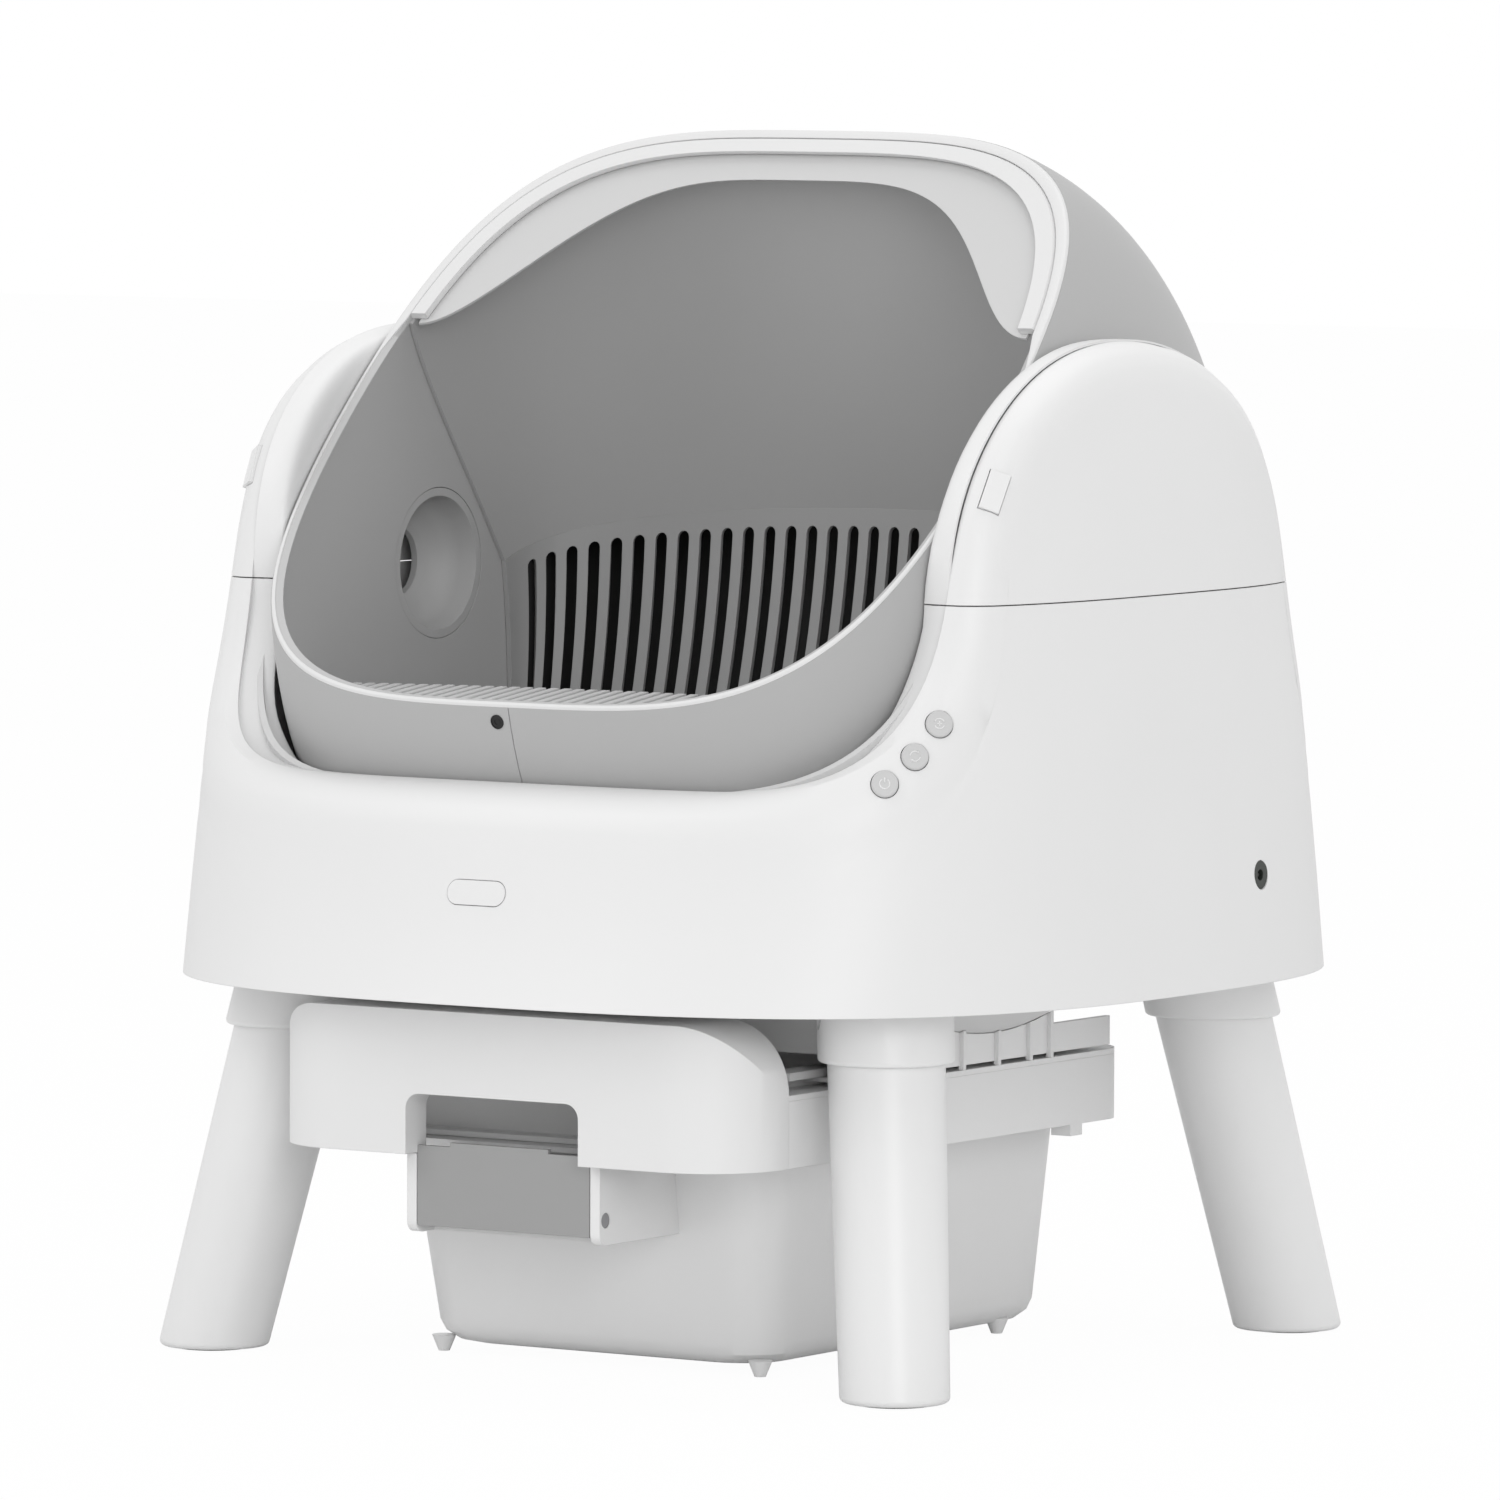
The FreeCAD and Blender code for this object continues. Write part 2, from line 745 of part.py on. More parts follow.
def rounded_plan(half, front, rear, corner, z):
    """Closed wire of a rectangle with round corners, from y = -front to y = rear."""
    corner = min(corner, 0.45 * half)
    x0, x1, y0, y1 = -half, half, -front, rear
    spots = ((x1 - corner, y0 + corner, -90), (x1 - corner, y1 - corner, 0),
             (x0 + corner, y1 - corner, 90), (x0 + corner, y0 + corner, 180))
    edges = []
    ends = []
    for cx, cy, begin in spots:
        circle = Part.Circle(Vector(cx, cy, z), Vector(0, 0, 1), corner)
        arc = Part.Arc(circle, math.radians(begin), math.radians(begin + 90))
        edges.append(arc.toShape())
        ends.append((arc.StartPoint, arc.EndPoint))
    lines = [Part.LineSegment(ends[i][1], ends[(i + 1) % 4][0]).toShape() for i in range(4)]
    ordered = []
    for arc, line in zip(edges, lines):
        ordered.extend((arc, line))
    return Part.Wire(ordered)


def big_box(x0, y0, z0, x1, y1, z1):
    return Part.makeBox(x1 - x0, y1 - y0, z1 - z0, Vector(x0, y0, z0))


def tube_along(start, direction, radius, length):
    return Part.makeCylinder(radius, length, start, direction)


# Base shell, shoulder caps and the cradle


def full_housing():
    """Outer skin of the base with its shoulders, one thin-walled ring."""
    outer = skin_rows(0.0)
    inner = skin_rows(size("shell_wall"))
    return ring_solid([around(row) for row in outer + inner[::-1]])


def button_places():
    return [roll_station(share, degrees)[:2] for share, degrees in BUTTON_STATIONS]


def jack_place():
    z, y = size("jack_height"), size("jack_y")
    half_width, half_depth, power = hull(z)
    x = half_width * (1 - (y / half_depth) ** power) ** (1 / power)
    return Vector(x, y, z)


def window_place():
    z = size("window_height")
    half_depth = hull(z)[1]
    lean = math.degrees(math.atan2(hull(z - 5)[1] - hull(z + 5)[1], 10))
    return Placement(Vector(0, -half_depth, z), Rotation(Vector(1, 0, 0), 90 - lean))


def pill(length, width, low, high):
    """Flat bar with round ends, drawn across X and standing along its own Z."""
    radius = width / 2
    straight = length / 2 - radius
    bar = big_box(-straight, -radius, low, straight, radius, high)
    for side in (-1, 1):
        bar = bar.fuse(Part.makeCylinder(radius, high - low, Vector(side * straight, 0, low)))
    return bar.removeSplitter()


def latch_frame(side):
    """Frame of a shoulder latch: its Z points out of the front corner of the shoulder."""
    point, normal, along = roll_station(*LATCH_STATION)
    for vector in (point, normal, along):
        vector.x *= side
    return Placement(point, Rotation(Vector(), along, normal, "ZYX"))


def latch_block(extra, low, high):
    half_l = size("latch_length") / 2 + extra
    half_w = size("latch_width") / 2 + extra
    return big_box(-half_w, -half_l, low, half_w, half_l, high)


def make_housing():
    whole = full_housing()
    seam = size("seam_height")
    reach = 2 * size("shell_half_width")
    upper = big_box(-reach, -reach, seam, reach, reach, 2 * reach)
    shell = whole.cut(upper)
    tools = []
    for point, normal in button_places():
        radius = size("button_radius") + size("button_gap")
        tools.append(tube_along(point - normal * 12, normal, radius, 24))
    jack = tube_along(jack_place() - Vector(12, 0, 0), Vector(1, 0, 0), size("jack_radius") + size("fit_gap"), 24)
    tools.append(jack)
    window = pill(size("window_length") + 2 * size("fit_gap"), size("window_width") + 2 * size("fit_gap"), -8, 8)
    window.Placement = window_place()
    tools.append(window)
    shape_node("base_shell", shell.cut(tools))
    for side, name in ((-1, "left"), (1, "right")):
        x0, x1 = sorted((side * 60.0, side * reach))
        keep = big_box(x0, -reach, seam + size("seam_gap"), x1, reach, 2 * reach)
        cap = whole.common(keep)
        hole = latch_block(size("fit_gap"), -12, 12)
        hole.Placement = latch_frame(side)
        shape_node(name + "_shoulder_cap", cap.cut(hole))
        latch = latch_block(0.0, -size("shell_wall") - 2.0, 1.0)
        latch.Placement = latch_frame(side)
        shape_node(name + "_cap_latch", latch)


def bearing_opening(side, radius):
    """Round clearance for a journal through the side of the cradle."""
    start = Vector(side * 190.0, 0, size("axis_height"))
    return tube_along(start, Vector(side, 0, 0), radius, 60)


def make_cradle():
    half, radius, power = size("cradle_half_width"), size("cradle_radius"), size("cradle_squareness")
    wall = size("cradle_wall")
    bowl = barrel(half, radius, power).cut(barrel(half - wall, radius - wall, power))
    trimmed = bowl.common(side_profile(size("shell_wall") + size("fit_gap")))
    reach = 2 * half
    seam = size("seam_height")
    for side in (-1, 1):
        trimmed = trimmed.cut(bearing_opening(side, size("gear_module") * size("gear_teeth") / 2 + 6))
    lower = trimmed.common(big_box(-reach, -reach, 0, reach, reach, seam))
    port = big_box(-size("port_half_width"), -size("port_front"), 0, size("port_half_width"), size("port_rear"), 300)
    shape_node("drum_cradle", lower.cut([port] + rail_tunnels(size("chute_half_width") + size("fit_gap"))))
    for side, name in ((-1, "left"), (1, "right")):
        x0, x1 = sorted((side * 60.0, side * reach))
        keep = big_box(x0, -reach, seam + size("seam_gap"), x1, reach, 2 * reach)
        shape_node(name + "_cap_liner", trimmed.common(keep))


def make_floor():
    inset = size("shell_wall") + size("fit_gap")
    thin = size("floor_wall")
    level = size("floor_height") + thin
    quarter = [hull_point(-math.pi / 2 + math.pi / 2 * i / 16, level, inset) for i in range(17)]
    quarter[0].x = 0.0
    quarter[-1].y = 0.0
    outline = Part.Wire([spline_edge(around(quarter), True)])
    plate = Part.Face(outline).extrude(Vector(0, 0, -thin))
    gap = size("fit_gap")
    cradle = barrel(size("cradle_half_width") + gap, size("cradle_radius") + gap, size("cradle_squareness"))
    chute = big_box(-size("chute_half_width") - gap, -size("chute_front") - gap, 0,
                    size("chute_half_width") + gap, size("chute_rear") + gap, level)
    shape_node("base_floor", plate.cut([cradle, chute]))


def make_pedestals():
    low = "floor_height + floor_wall"
    for side, name, journal in ((-1, "left", "left_journal_radius"), (1, "right", "right_journal_radius")):
        points = [("pedestal_half_width", low), ("pedestal_half_width", "axis_height"),
                  ("0 - pedestal_half_width", "axis_height"), ("0 - pedestal_half_width", low),
                  ("0 - pedestal_window", low), ("0 - pedestal_window", "pedestal_window_top"),
                  ("pedestal_window", "pedestal_window_top"), ("pedestal_window", low)]
        plane = "pedestal_inner_plane" if side > 0 else "0 - pedestal_inner_plane - pedestal_thickness"
        if side < 0:
            plane = "0 - gear_plane - pedestal_thickness"
        body = padded(name + "_stand", "YZ_Plane", points, "pedestal_thickness", x=plane)
        bore = rod(journal + " + running_fit", "3 * pedestal_thickness", z="axis_height", axis=Vector(1, 0, 0))
        place(bore, plane + " - pedestal_thickness", "0", "axis_height")
        node(cut(body, bore), name + "_bearing_stand")


# Drum


def half_space(side):
    """Everything on one side of the drum's middle seam."""
    reach = 2 * size("drum_radius")
    x0, x1 = sorted((side * size("drum_seam_gap") / 2, side * reach))
    return big_box(x0, -reach, -reach, x1, reach, 2 * reach)


def make_drum_shells():
    half, radius, power = size("drum_half_length"), size("drum_radius"), size("drum_squareness")
    wall = size("drum_wall")
    gap = size("fit_gap")
    skin = barrel(half, radius, power).cut(barrel(half - wall, radius - wall, power))
    skin = skin.cut(beyond_mouth())
    axis = size("axis_height")
    left_hole = tube_along(Vector(-half - 5, 0, axis), Vector(1, 0, 0), size("left_journal_radius") + gap, 40)
    right_hole = tube_along(Vector(half + 5, 0, axis), Vector(-1, 0, 0), size("right_journal_radius") + gap, 40)
    skin = skin.cut([left_hole, right_hole])
    shape_node("drum_left_shell", skin.common(half_space(-1)).cut(seam_screw(gap)))
    shape_node("drum_right_shell", skin.common(half_space(1)))


def seam_screw_place():
    """Where the screw that closes the front seam enters the left shell."""
    axis = size("axis_height")
    z = axis - 67.0
    y = -math.sqrt(size("drum_radius") ** 2 - (z - axis) ** 2)
    outward = Vector(0, y, z - axis)
    outward.normalize()
    return Vector(-8.0, y, z), outward


def seam_screw(extra):
    point, outward = seam_screw_place()
    radius = size("seam_screw_radius") + extra
    return tube_along(point - outward * (size("drum_wall") + 1), outward, radius, size("drum_wall") + 0.4)


def make_liners():
    gap = size("fit_gap")
    wall = size("drum_wall") + gap
    half, radius, power = size("drum_half_length") - wall, size("drum_radius") - wall, size("drum_squareness")
    thin = size("liner_wall")
    layer = barrel(half, radius, power).cut(barrel(half - thin, radius - thin, power))
    layer = layer.cut(beyond_mouth(-2.0))
    reach = 2 * radius
    axis = size("axis_height")
    for side, name, journal in ((-1, "left", "left_journal_radius"), (1, "right", "right_journal_radius")):
        x0, x1 = sorted((side * (half - size("liner_reach")), side * reach))
        keep = big_box(x0, -reach, -reach, x1, reach, 2 * reach)
        hole = tube_along(Vector(side * (half - 40), 0, axis), Vector(side, 0, 0), size(journal) + gap, 60)
        shape_node(name + "_side_panel", layer.common(keep).cut(hole))


def lining_inset():
    """Distance from the drum's skin to the faces that rest on the side panels."""
    return size("drum_wall") + size("liner_wall") + 2 * size("fit_gap")


def stretched(row):
    """The row with its ends moved along X to the side panels."""
    inset = lining_inset()
    end = row[-1]
    half, radius, power = size("drum_half_length") - inset, size("drum_radius") - inset, size("drum_squareness")
    away = math.hypot(end.y, end.z - size("axis_height"))
    reach = half * (1 - (away / radius) ** power) ** (1 / power)
    return [Vector(p.x * reach / end.x, p.y, p.z) for p in row]


def sieve_top_row(shift, count=25):
    """Row along the join of the back wall and the sieve, moved back by shift."""
    half = size("drum_half_length") - lining_inset()
    side_y, side_z = size("sieve_side_depth"), size("sieve_side_height")
    deep_y = size("sieve_crown_depth") - side_y
    deep_z = size("sieve_crown_height") - side_z
    row = []
    for i in range(count):
        angle = math.pi * i / (count - 1)
        bulge = math.sin(angle) ** 0.8 if 0 < i < count - 1 else 0.0
        row.append(Vector(-half * math.cos(angle), side_y + deep_y * bulge + shift, side_z + deep_z * bulge))
    return row


def sieve_foot_row(shift, count=25):
    """Row along the sieve's lower edge, just above the barrel's floor."""
    top = sieve_top_row(0.0, count)
    wall = lining_inset() + size("sieve_wall")
    half, radius, power = size("drum_half_length") - wall, size("drum_radius") - wall, size("drum_squareness")
    y = size("sieve_foot_depth")
    row = []
    for point in top:
        x = point.x * (half - size("sieve_foot_inset")) / abs(top[0].x)
        drop = math.sqrt(drum_radius_at(x, half, radius, power) ** 2 - y ** 2)
        row.append(Vector(x, y + shift, size("axis_height") - drop + abs(shift) * 0.2))
    return row


def blend_rows(first, last, sag, shares):
    """Rows between two rows, pushed back and down by sag in the middle."""
    rows = []
    for share in shares:
        bow = 4 * share * (1 - share)
        row = [a + (b - a) * share + Vector(0, sag * bow * 0.75, -sag * bow * 0.66) for a, b in zip(first, last)]
        rows.append(row)
    return rows


def make_back_wall():
    thin = size("back_wall_thickness")
    top = hood_arc(lining_inset(), -size("guard_drop"), size("trim_start"))
    foot = sieve_top_row(0.0)
    shares = (0.0, 0.25, 0.5, 0.75, 1.0)
    front = [stretched(row) for row in blend_rows(top, foot, size("back_wall_sag"), shares)]
    back = [[p + Vector(0, thin, 0) for p in row] for row in front]
    shape_node("back_wall", sheet_solid(front, back))


def height_at(row, x):
    """Height of a row of points over a place x between its ends."""
    for first, second in zip(row, row[1:]):
        if first.x <= x <= second.x:
            return first.z + (second.z - first.z) * (x - first.x) / (second.x - first.x)
    return row[0].z


def slot_line(rows, x):
    """Middle line of one slot down the sieve, with its upper end swayed towards the middle."""
    half = abs(rows[0][0].x)
    line = []
    for i, row in enumerate(rows):
        share = i / (len(rows) - 1)
        ease = max(1 - share / SWAY_SHARE, 0.0) ** 2
        narrow = abs(row[0].x) / half
        spot = x * (narrow - size("slot_sway") / half * ease)
        line.append(Vector(spot, 0, height_at(row, spot)))
    return line


def slot_tool(line):
    """Round-ended slot along a line, as a prism through the whole depth of the drum."""
    radius = size("slot_width") / 2
    margin = size("slot_margin") + radius
    line = [p for p in line if line[-1].z + margin < p.z < line[0].z - margin]
    sides = ([], [])
    for i, point in enumerate(line):
        along = line[min(i + 1, len(line) - 1)] - line[max(i - 1, 0)]
        across = Vector(-along.z, 0, along.x)
        across.normalize()
        sides[0].append(point + across * radius)
        sides[1].append(point - across * radius)
    heading = line[0] - line[1]
    heading.normalize()
    trailing = line[-1] - line[-2]
    trailing.normalize()
    top = Part.Arc(sides[0][0], line[0] + heading * radius, sides[1][0]).toShape()
    low = Part.Arc(sides[1][-1], line[-1] + trailing * radius, sides[0][-1]).toShape()
    outline = Part.Wire([top, spline_edge(sides[1]), low, spline_edge(sides[0][::-1])])
    reach = size("drum_radius")
    tool = Part.Face(outline).extrude(Vector(0, 2 * reach, 0))
    tool.translate(Vector(0, -reach, 0))
    return tool


def make_sieve():
    thin = size("sieve_wall")
    top, foot = sieve_top_row(0.0), sieve_foot_row(0.0)
    top = [p - Vector(0, 0, size("fit_gap")) for p in top]

    def rows_at(shares):
        return [stretched(row) for row in blend_rows(top, foot, size("sieve_sag"), shares[:-1])] + [foot]

    shares = (0.0, 0.2, 0.4, 0.6, 0.8, 1.0)
    front = rows_at(shares)
    back = []
    for share, row in zip(shares, front):
        lean = math.radians(15 + 65 * share)
        push = Vector(0, thin * math.cos(lean), -thin * math.sin(lean))
        moved = [p + push for p in row]
        back.append(moved if share == shares[-1] else stretched(moved))
    plate = sheet_solid(front, back)
    fine = rows_at([i / SLOT_STEPS for i in range(SLOT_STEPS + 1)])
    pitch = size("slot_pitch")
    count = int((abs(top[0].x) - size("slot_margin")) // pitch)
    tools = [slot_tool(slot_line(fine, i * pitch)) for i in range(-count, count + 1)]
    shape_node("litter_sieve", plate.cut(tools))


def make_step():
    gap = size("fit_gap")
    wall = size("drum_wall") + size("liner_wall") + 2 * gap
    half, radius, power = size("drum_half_length") - wall, size("drum_radius") - wall, size("drum_squareness")
    room = barrel(half, radius, power).cut(beyond_mouth(-2.0))
    top = size("step_height")
    thin = size("step_wall")
    depth = size("step_depth")
    bulge = size("step_bulge")
    bow = (half ** 2 + bulge ** 2) / (2 * bulge)
    centre_y = -depth + bulge - bow
    far = Part.makeCylinder(bow, 2 * top, Vector(0, centre_y, 0))
    near = Part.makeCylinder(bow - thin, 2 * top, Vector(0, centre_y, 0))
    plate = far.common(big_box(-half, -radius, top - thin, half, 0, top))
    riser = far.cut(near).common(big_box(-half, -radius, 0, half, 0, top - thin))
    shelf = plate.fuse(riser).common(room)
    long, wide = size("ridge_length"), size("ridge_width")
    count = int((half - long / 4) // size("ridge_pitch"))
    ribs = []
    for i in range(-count, count + 1):
        bar = Part.makeBox(long, wide, size("ridge_rise"), Vector(-long / 2, -wide / 2, 0))
        spot = Vector(i * size("ridge_pitch"), -radius + size("ridge_setback"), top - BOND)
        bar.Placement = Placement(spot, Rotation(Vector(0, 0, 1), size("ridge_lean")))
        ribs.append(bar)
    ridges = ribs[0].fuse(ribs[1:]).common(room).common(far)
    shape_node("front_step", shelf.fuse(ridges).removeSplitter())


def make_rim():
    width, height = size("bead_width"), size("bead_height")
    loops = [mouth_loop(0.4, 0.0), mouth_loop(0.4 + height * 0.3, height),
             mouth_loop(width - 0.6, height), mouth_loop(width, 0.0)]
    shape_node("rim_bead", ring_solid(loops))
    low = size("trim_start") + 3
    start = size("bead_width") + size("fit_gap")
    wide, tall = size("trim_width"), size("trim_height")
    outer = hood_arc(start, 0.4, low)
    top_outer = hood_arc(start + 0.6, tall * 0.7, low)
    top_inner = hood_arc(start + wide - 0.6, tall * 0.7, low)
    inner = hood_arc(start + wide, 0.4, low)
    front = [outer, top_outer, top_inner, inner]
    back = [hood_arc(start, -1.6, low), hood_arc(start + 0.6, -1.61, low),
            hood_arc(start + wide - 0.6, -1.61, low), hood_arc(start + wide, -1.6, low)]
    shape_node("hood_trim", sheet_solid(front, back))


def guard_edge(outer):
    """Free edge of the splash guard: a bell curve under the hood that runs out in the corners."""
    frame = mouth_place()
    row = [frame.inverse().multVec(point) for point in outer]
    end = abs(row[0].x)
    low = row[0].y - size("guard_tuck")
    crown = row[len(row) // 2].y - size("guard_crown_width") - size("guard_tuck")
    edge = []
    for point in row:
        bell = 0.5 * (1 + math.cos(math.pi * (abs(point.x) / end) ** BELL_POWER))
        edge.append(frame.multVec(Vector(point.x, low + (crown - low) * bell, point.z)))
    return edge


def make_guard():
    inset = size("bead_width") + size("trim_width") + size("fit_gap") - size("guard_tuck")
    grids = []
    for lift in (-size("guard_drop"), -size("guard_drop") - size("guard_wall")):
        outer = hood_arc(inset, lift, size("trim_start") + size("guard_tuck"))
        grids.append([outer, guard_edge(outer)])
    shape_node("splash_guard", sheet_solid(*grids))


def make_hubs():
    half = "drum_half_length"
    face = "0 - " + half + " - fit_gap"
    reach = "0 - gear_plane - pedestal_thickness - 3"
    inside = "0 - " + half + " + drum_wall + liner_wall + fit_gap"
    left = [(inside, "dish_radius"), (inside, "left_journal_radius"), (face, "left_journal_radius"),
            (face, "hub_flange_radius"), (face + " - hub_flange_wall", "hub_flange_radius"),
            (face + " - hub_flange_wall", "left_journal_radius"), (reach, "left_journal_radius"),
            (reach, "dish_hole_radius"), (inside + " - dish_depth", "dish_hole_radius"),
            (inside + " - 0.86 * dish_depth", "dish_hole_radius + 0.35 * (dish_radius - dish_hole_radius)"),
            (inside + " - 0.5 * dish_depth", "dish_hole_radius + 0.82 * (dish_radius - dish_hole_radius)")]
    node(turned("left_hub", left, z="axis_height"), "left_hub")
    gear_low, gear_high = "gear_plane", "gear_plane + gear_face"
    root = "gear_module * gear_teeth / 2 - 1.3 * gear_module"
    tip = "pedestal_inner_plane + pedestal_thickness"
    right = [(half + " - drum_wall - liner_wall", "0"),
             (half + " - drum_wall - liner_wall", "right_journal_radius"),
             (half + " + fit_gap", "right_journal_radius"), (half + " + fit_gap", "hub_flange_radius"),
             (half + " + fit_gap + hub_flange_wall", "hub_flange_radius"),
             (half + " + fit_gap + hub_flange_wall", "right_journal_radius"),
             (gear_low, "right_journal_radius"), (gear_low, root), (gear_high, root),
             (gear_high, "right_journal_radius"), (tip, "right_journal_radius"), (tip, "0")]
    node(turned("right_hub", right, z="axis_height"), "right_hub")


def gear_outline(teeth, module, backlash, turn):
    """Closed wire of an involute gear in the YZ plane, round the origin."""
    pressure = math.radians(20)
    pitch = module * teeth / 2
    base = pitch * math.cos(pressure)
    tip = pitch + module
    root = pitch - 1.25 * module
    half_angle = math.pi / (2 * teeth) - backlash / (2 * pitch) + math.tan(pressure) - pressure

    def flank(radius):
        if radius <= base:
            return half_angle
        lean = math.acos(base / radius)
        return half_angle - (math.tan(lean) - lean)

    def spot(radius, angle):
        return Vector(0, radius * math.cos(angle), radius * math.sin(angle))

    start = max(base, root)
    radii = [start + (tip - start) * i / 3 for i in range(4)]
    edges = []
    for k in range(teeth):
        middle = turn + 2 * math.pi * k / teeth
        rise = [spot(r, middle - flank(r)) for r in radii]
        fall = [spot(r, middle + flank(r)) for r in reversed(radii)]
        foot = spot(root, middle - flank(root))
        end = spot(root, middle + flank(root))
        if root < base:
            edges.append(Part.LineSegment(foot, rise[0]).toShape())
        edges.append(spline_edge(rise))
        edges.append(Part.LineSegment(rise[-1], fall[0]).toShape())
        edges.append(spline_edge(fall))
        if root < base:
            edges.append(Part.LineSegment(fall[-1], end).toShape())
        following = spot(root, middle + 2 * math.pi / teeth - flank(root))
        edges.append(Part.LineSegment(end if root < base else fall[-1], following).toShape())
    return Part.Wire(edges)


def make_gears():
    module = size("gear_module")
    teeth, pinion_teeth = int(size("gear_teeth")), int(size("pinion_teeth"))
    backlash = size("gear_backlash")
    face = size("gear_face")
    start = size("gear_plane")
    axis = size("axis_height")
    ring = Part.Face(gear_outline(teeth, module, backlash, -math.pi / 2)).extrude(Vector(face, 0, 0))
    bore = module * teeth / 2 - 1.3 * module
    ring = ring.cut(tube_along(Vector(-1, 0, 0), Vector(1, 0, 0), bore, face + 2))
    ring.translate(Vector(start, 0, axis))
    shape_node("ring_gear", ring)
    gap = math.pi / pinion_teeth
    pinion = Part.Face(gear_outline(pinion_teeth, module, backlash, math.pi / 2 + gap)).extrude(Vector(face, 0, 0))
    shaft = size("pinion_shaft_radius")
    long = face + 14
    pinion = pinion.fuse(tube_along(Vector(0, 0, 0), Vector(1, 0, 0), shaft, long))
    pinion.translate(Vector(start, 0, axis - pinion_drop()))
    shape_node("drive_pinion", pinion.removeSplitter())


def pinion_drop():
    return size("gear_module") * (size("gear_teeth") + size("pinion_teeth")) / 2 + size("mesh_clearance")


def make_motor():
    """Gear box beside the pinion with the motor's can hanging below it."""
    front = size("gear_plane") + size("gear_face") + size("motor_gap")
    z = size("axis_height") - pinion_drop()
    wide = size("motor_box")
    low = z - size("motor_box_drop")
    box = big_box(front, -wide, low, front + wide, wide, z + size("motor_box_top"))
    radius, length = size("motor_can_radius"), size("motor_can_length")
    under = Vector(front + wide / 2, 0, low - length)
    can = Part.makeCylinder(radius, length, under)
    neck = Part.makeCylinder(radius / 2, radius, under - Vector(0, 0, radius * 0.7))
    shaft = size("pinion_shaft_radius") + size("running_fit")
    bore = tube_along(Vector(front - 5, 0, z), Vector(1, 0, 0), shaft, 30)
    shape_node("drive_motor", box.fuse([can, neck]).removeSplitter().cut(bore))


# Legs


def leg_axis(sx, sy):
    """Direction of a leg from its foot up to the base."""
    lean_x = math.tan(math.radians(size("leg_splay_x")))
    lean_y = math.tan(math.radians(size("leg_splay_y")))
    direction = Vector(-sx * lean_x, -sy * lean_y, 1)
    direction.normalize()
    return direction


def foot_place(sx, sy):
    return Vector(sx * size("foot_x"), sy * size("foot_y"), 0)


def socket_collar(sx, sy, extra):
    """Solid collar round the top of a leg, larger all round by extra."""
    up = leg_axis(sx, sy)
    top = size("floor_height")
    collar = Part.makeCylinder(size("socket_radius") + extra, 2 * top, foot_place(sx, sy), up)
    reach = 2 * size("shell_half_width")
    return collar.common(big_box(-reach, -reach, top - size("socket_drop") - extra, reach, reach, top))


def make_legs():
    discs = []
    screws = []
    low = size("pad_height")
    top = size("floor_height")
    for sx, sy, name in ((-1, -1, "front_left"), (1, -1, "front_right"), (-1, 1, "rear_left"), (1, 1, "rear_right")):
        foot = foot_place(sx, sy)
        up = leg_axis(sx, sy)
        span = top / up.z
        rate = (size("leg_top_radius") - size("leg_foot_radius")) / span
        below = 20.0
        start = foot - up * below
        length = span + 2 * below
        r0 = size("leg_foot_radius") - rate * below
        r1 = r0 + rate * length
        wall = size("leg_wall")
        slab = big_box(-500, -500, low, 500, 500, top - size("fit_gap"))
        tube = Part.makeCone(r0, r1, length, start, up).common(slab)
        rims = [e for e in tube.Edges if abs(e.BoundBox.ZMin - low) < 0.01 and e.BoundBox.ZLength < 0.01]
        tube = tube.makeFillet(size("leg_edge"), rims)
        bore = Part.makeCone(r0 - wall, r1 - wall, length, start, up)
        bore = bore.common(big_box(-500, -500, low + 5, 500, 500, top + 50))
        leg = tube.cut(bore)
        gap = size("fit_gap")
        collar = socket_collar(sx, sy, 0.0)
        rims = [e for e in collar.Edges if e.BoundBox.ZLength < 0.01 and e.BoundBox.ZMin < top - 5]
        collar = collar.makeFillet(size("socket_edge"), rims)
        collar = collar.cut(Part.makeCone(r0 + gap, r1 + gap, length, start, up))
        turn = Vector(sy, -sx, 0)
        turn.normalize()
        centre = foot + up * (size("leg_screw_height") / up.z)
        hole = tube_along(centre + turn * 25, turn, size("leg_screw_radius"), 20)
        collar = collar.cut(hole)
        pin_hole = tube_along(centre + turn * 20, turn, size("leg_screw_radius") - 1.5, 20)
        leg = leg.cut(pin_hole)
        screw = tube_along(centre + turn * 24, turn, size("leg_screw_radius") - 1.5 - 0.1, 7)
        head = tube_along(centre + turn * 31, turn, size("leg_screw_radius") - 0.2, 2.4)
        screws.append(screw.fuse(head).removeSplitter())
        shape_node(name + "_leg", leg)
        shape_node(name + "_leg_socket", collar)
        discs.append(Part.makeCylinder(size("pad_disc_radius"), low, Vector(foot.x, foot.y, 0)))
    shape_node("foot_pads", Part.makeCompound(discs))
    shape_node("leg_screws", Part.makeCompound(screws))


# Chute, rails and drawer


def rail_tunnels(outer):
    """Clear ways for the rails and for the drawer's runners, one on each side."""
    inner = size("chute_half_width") - size("chute_wall") - size("rail_width") - 19.0
    high = size("rail_top") + 0.8
    reach = 2 * size("drawer_front")
    ways = []
    for side in (-1, 1):
        x0, x1 = sorted((side * inner, side * outer))
        ways.append(big_box(x0, -reach, 100, x1, reach, high))
    return ways


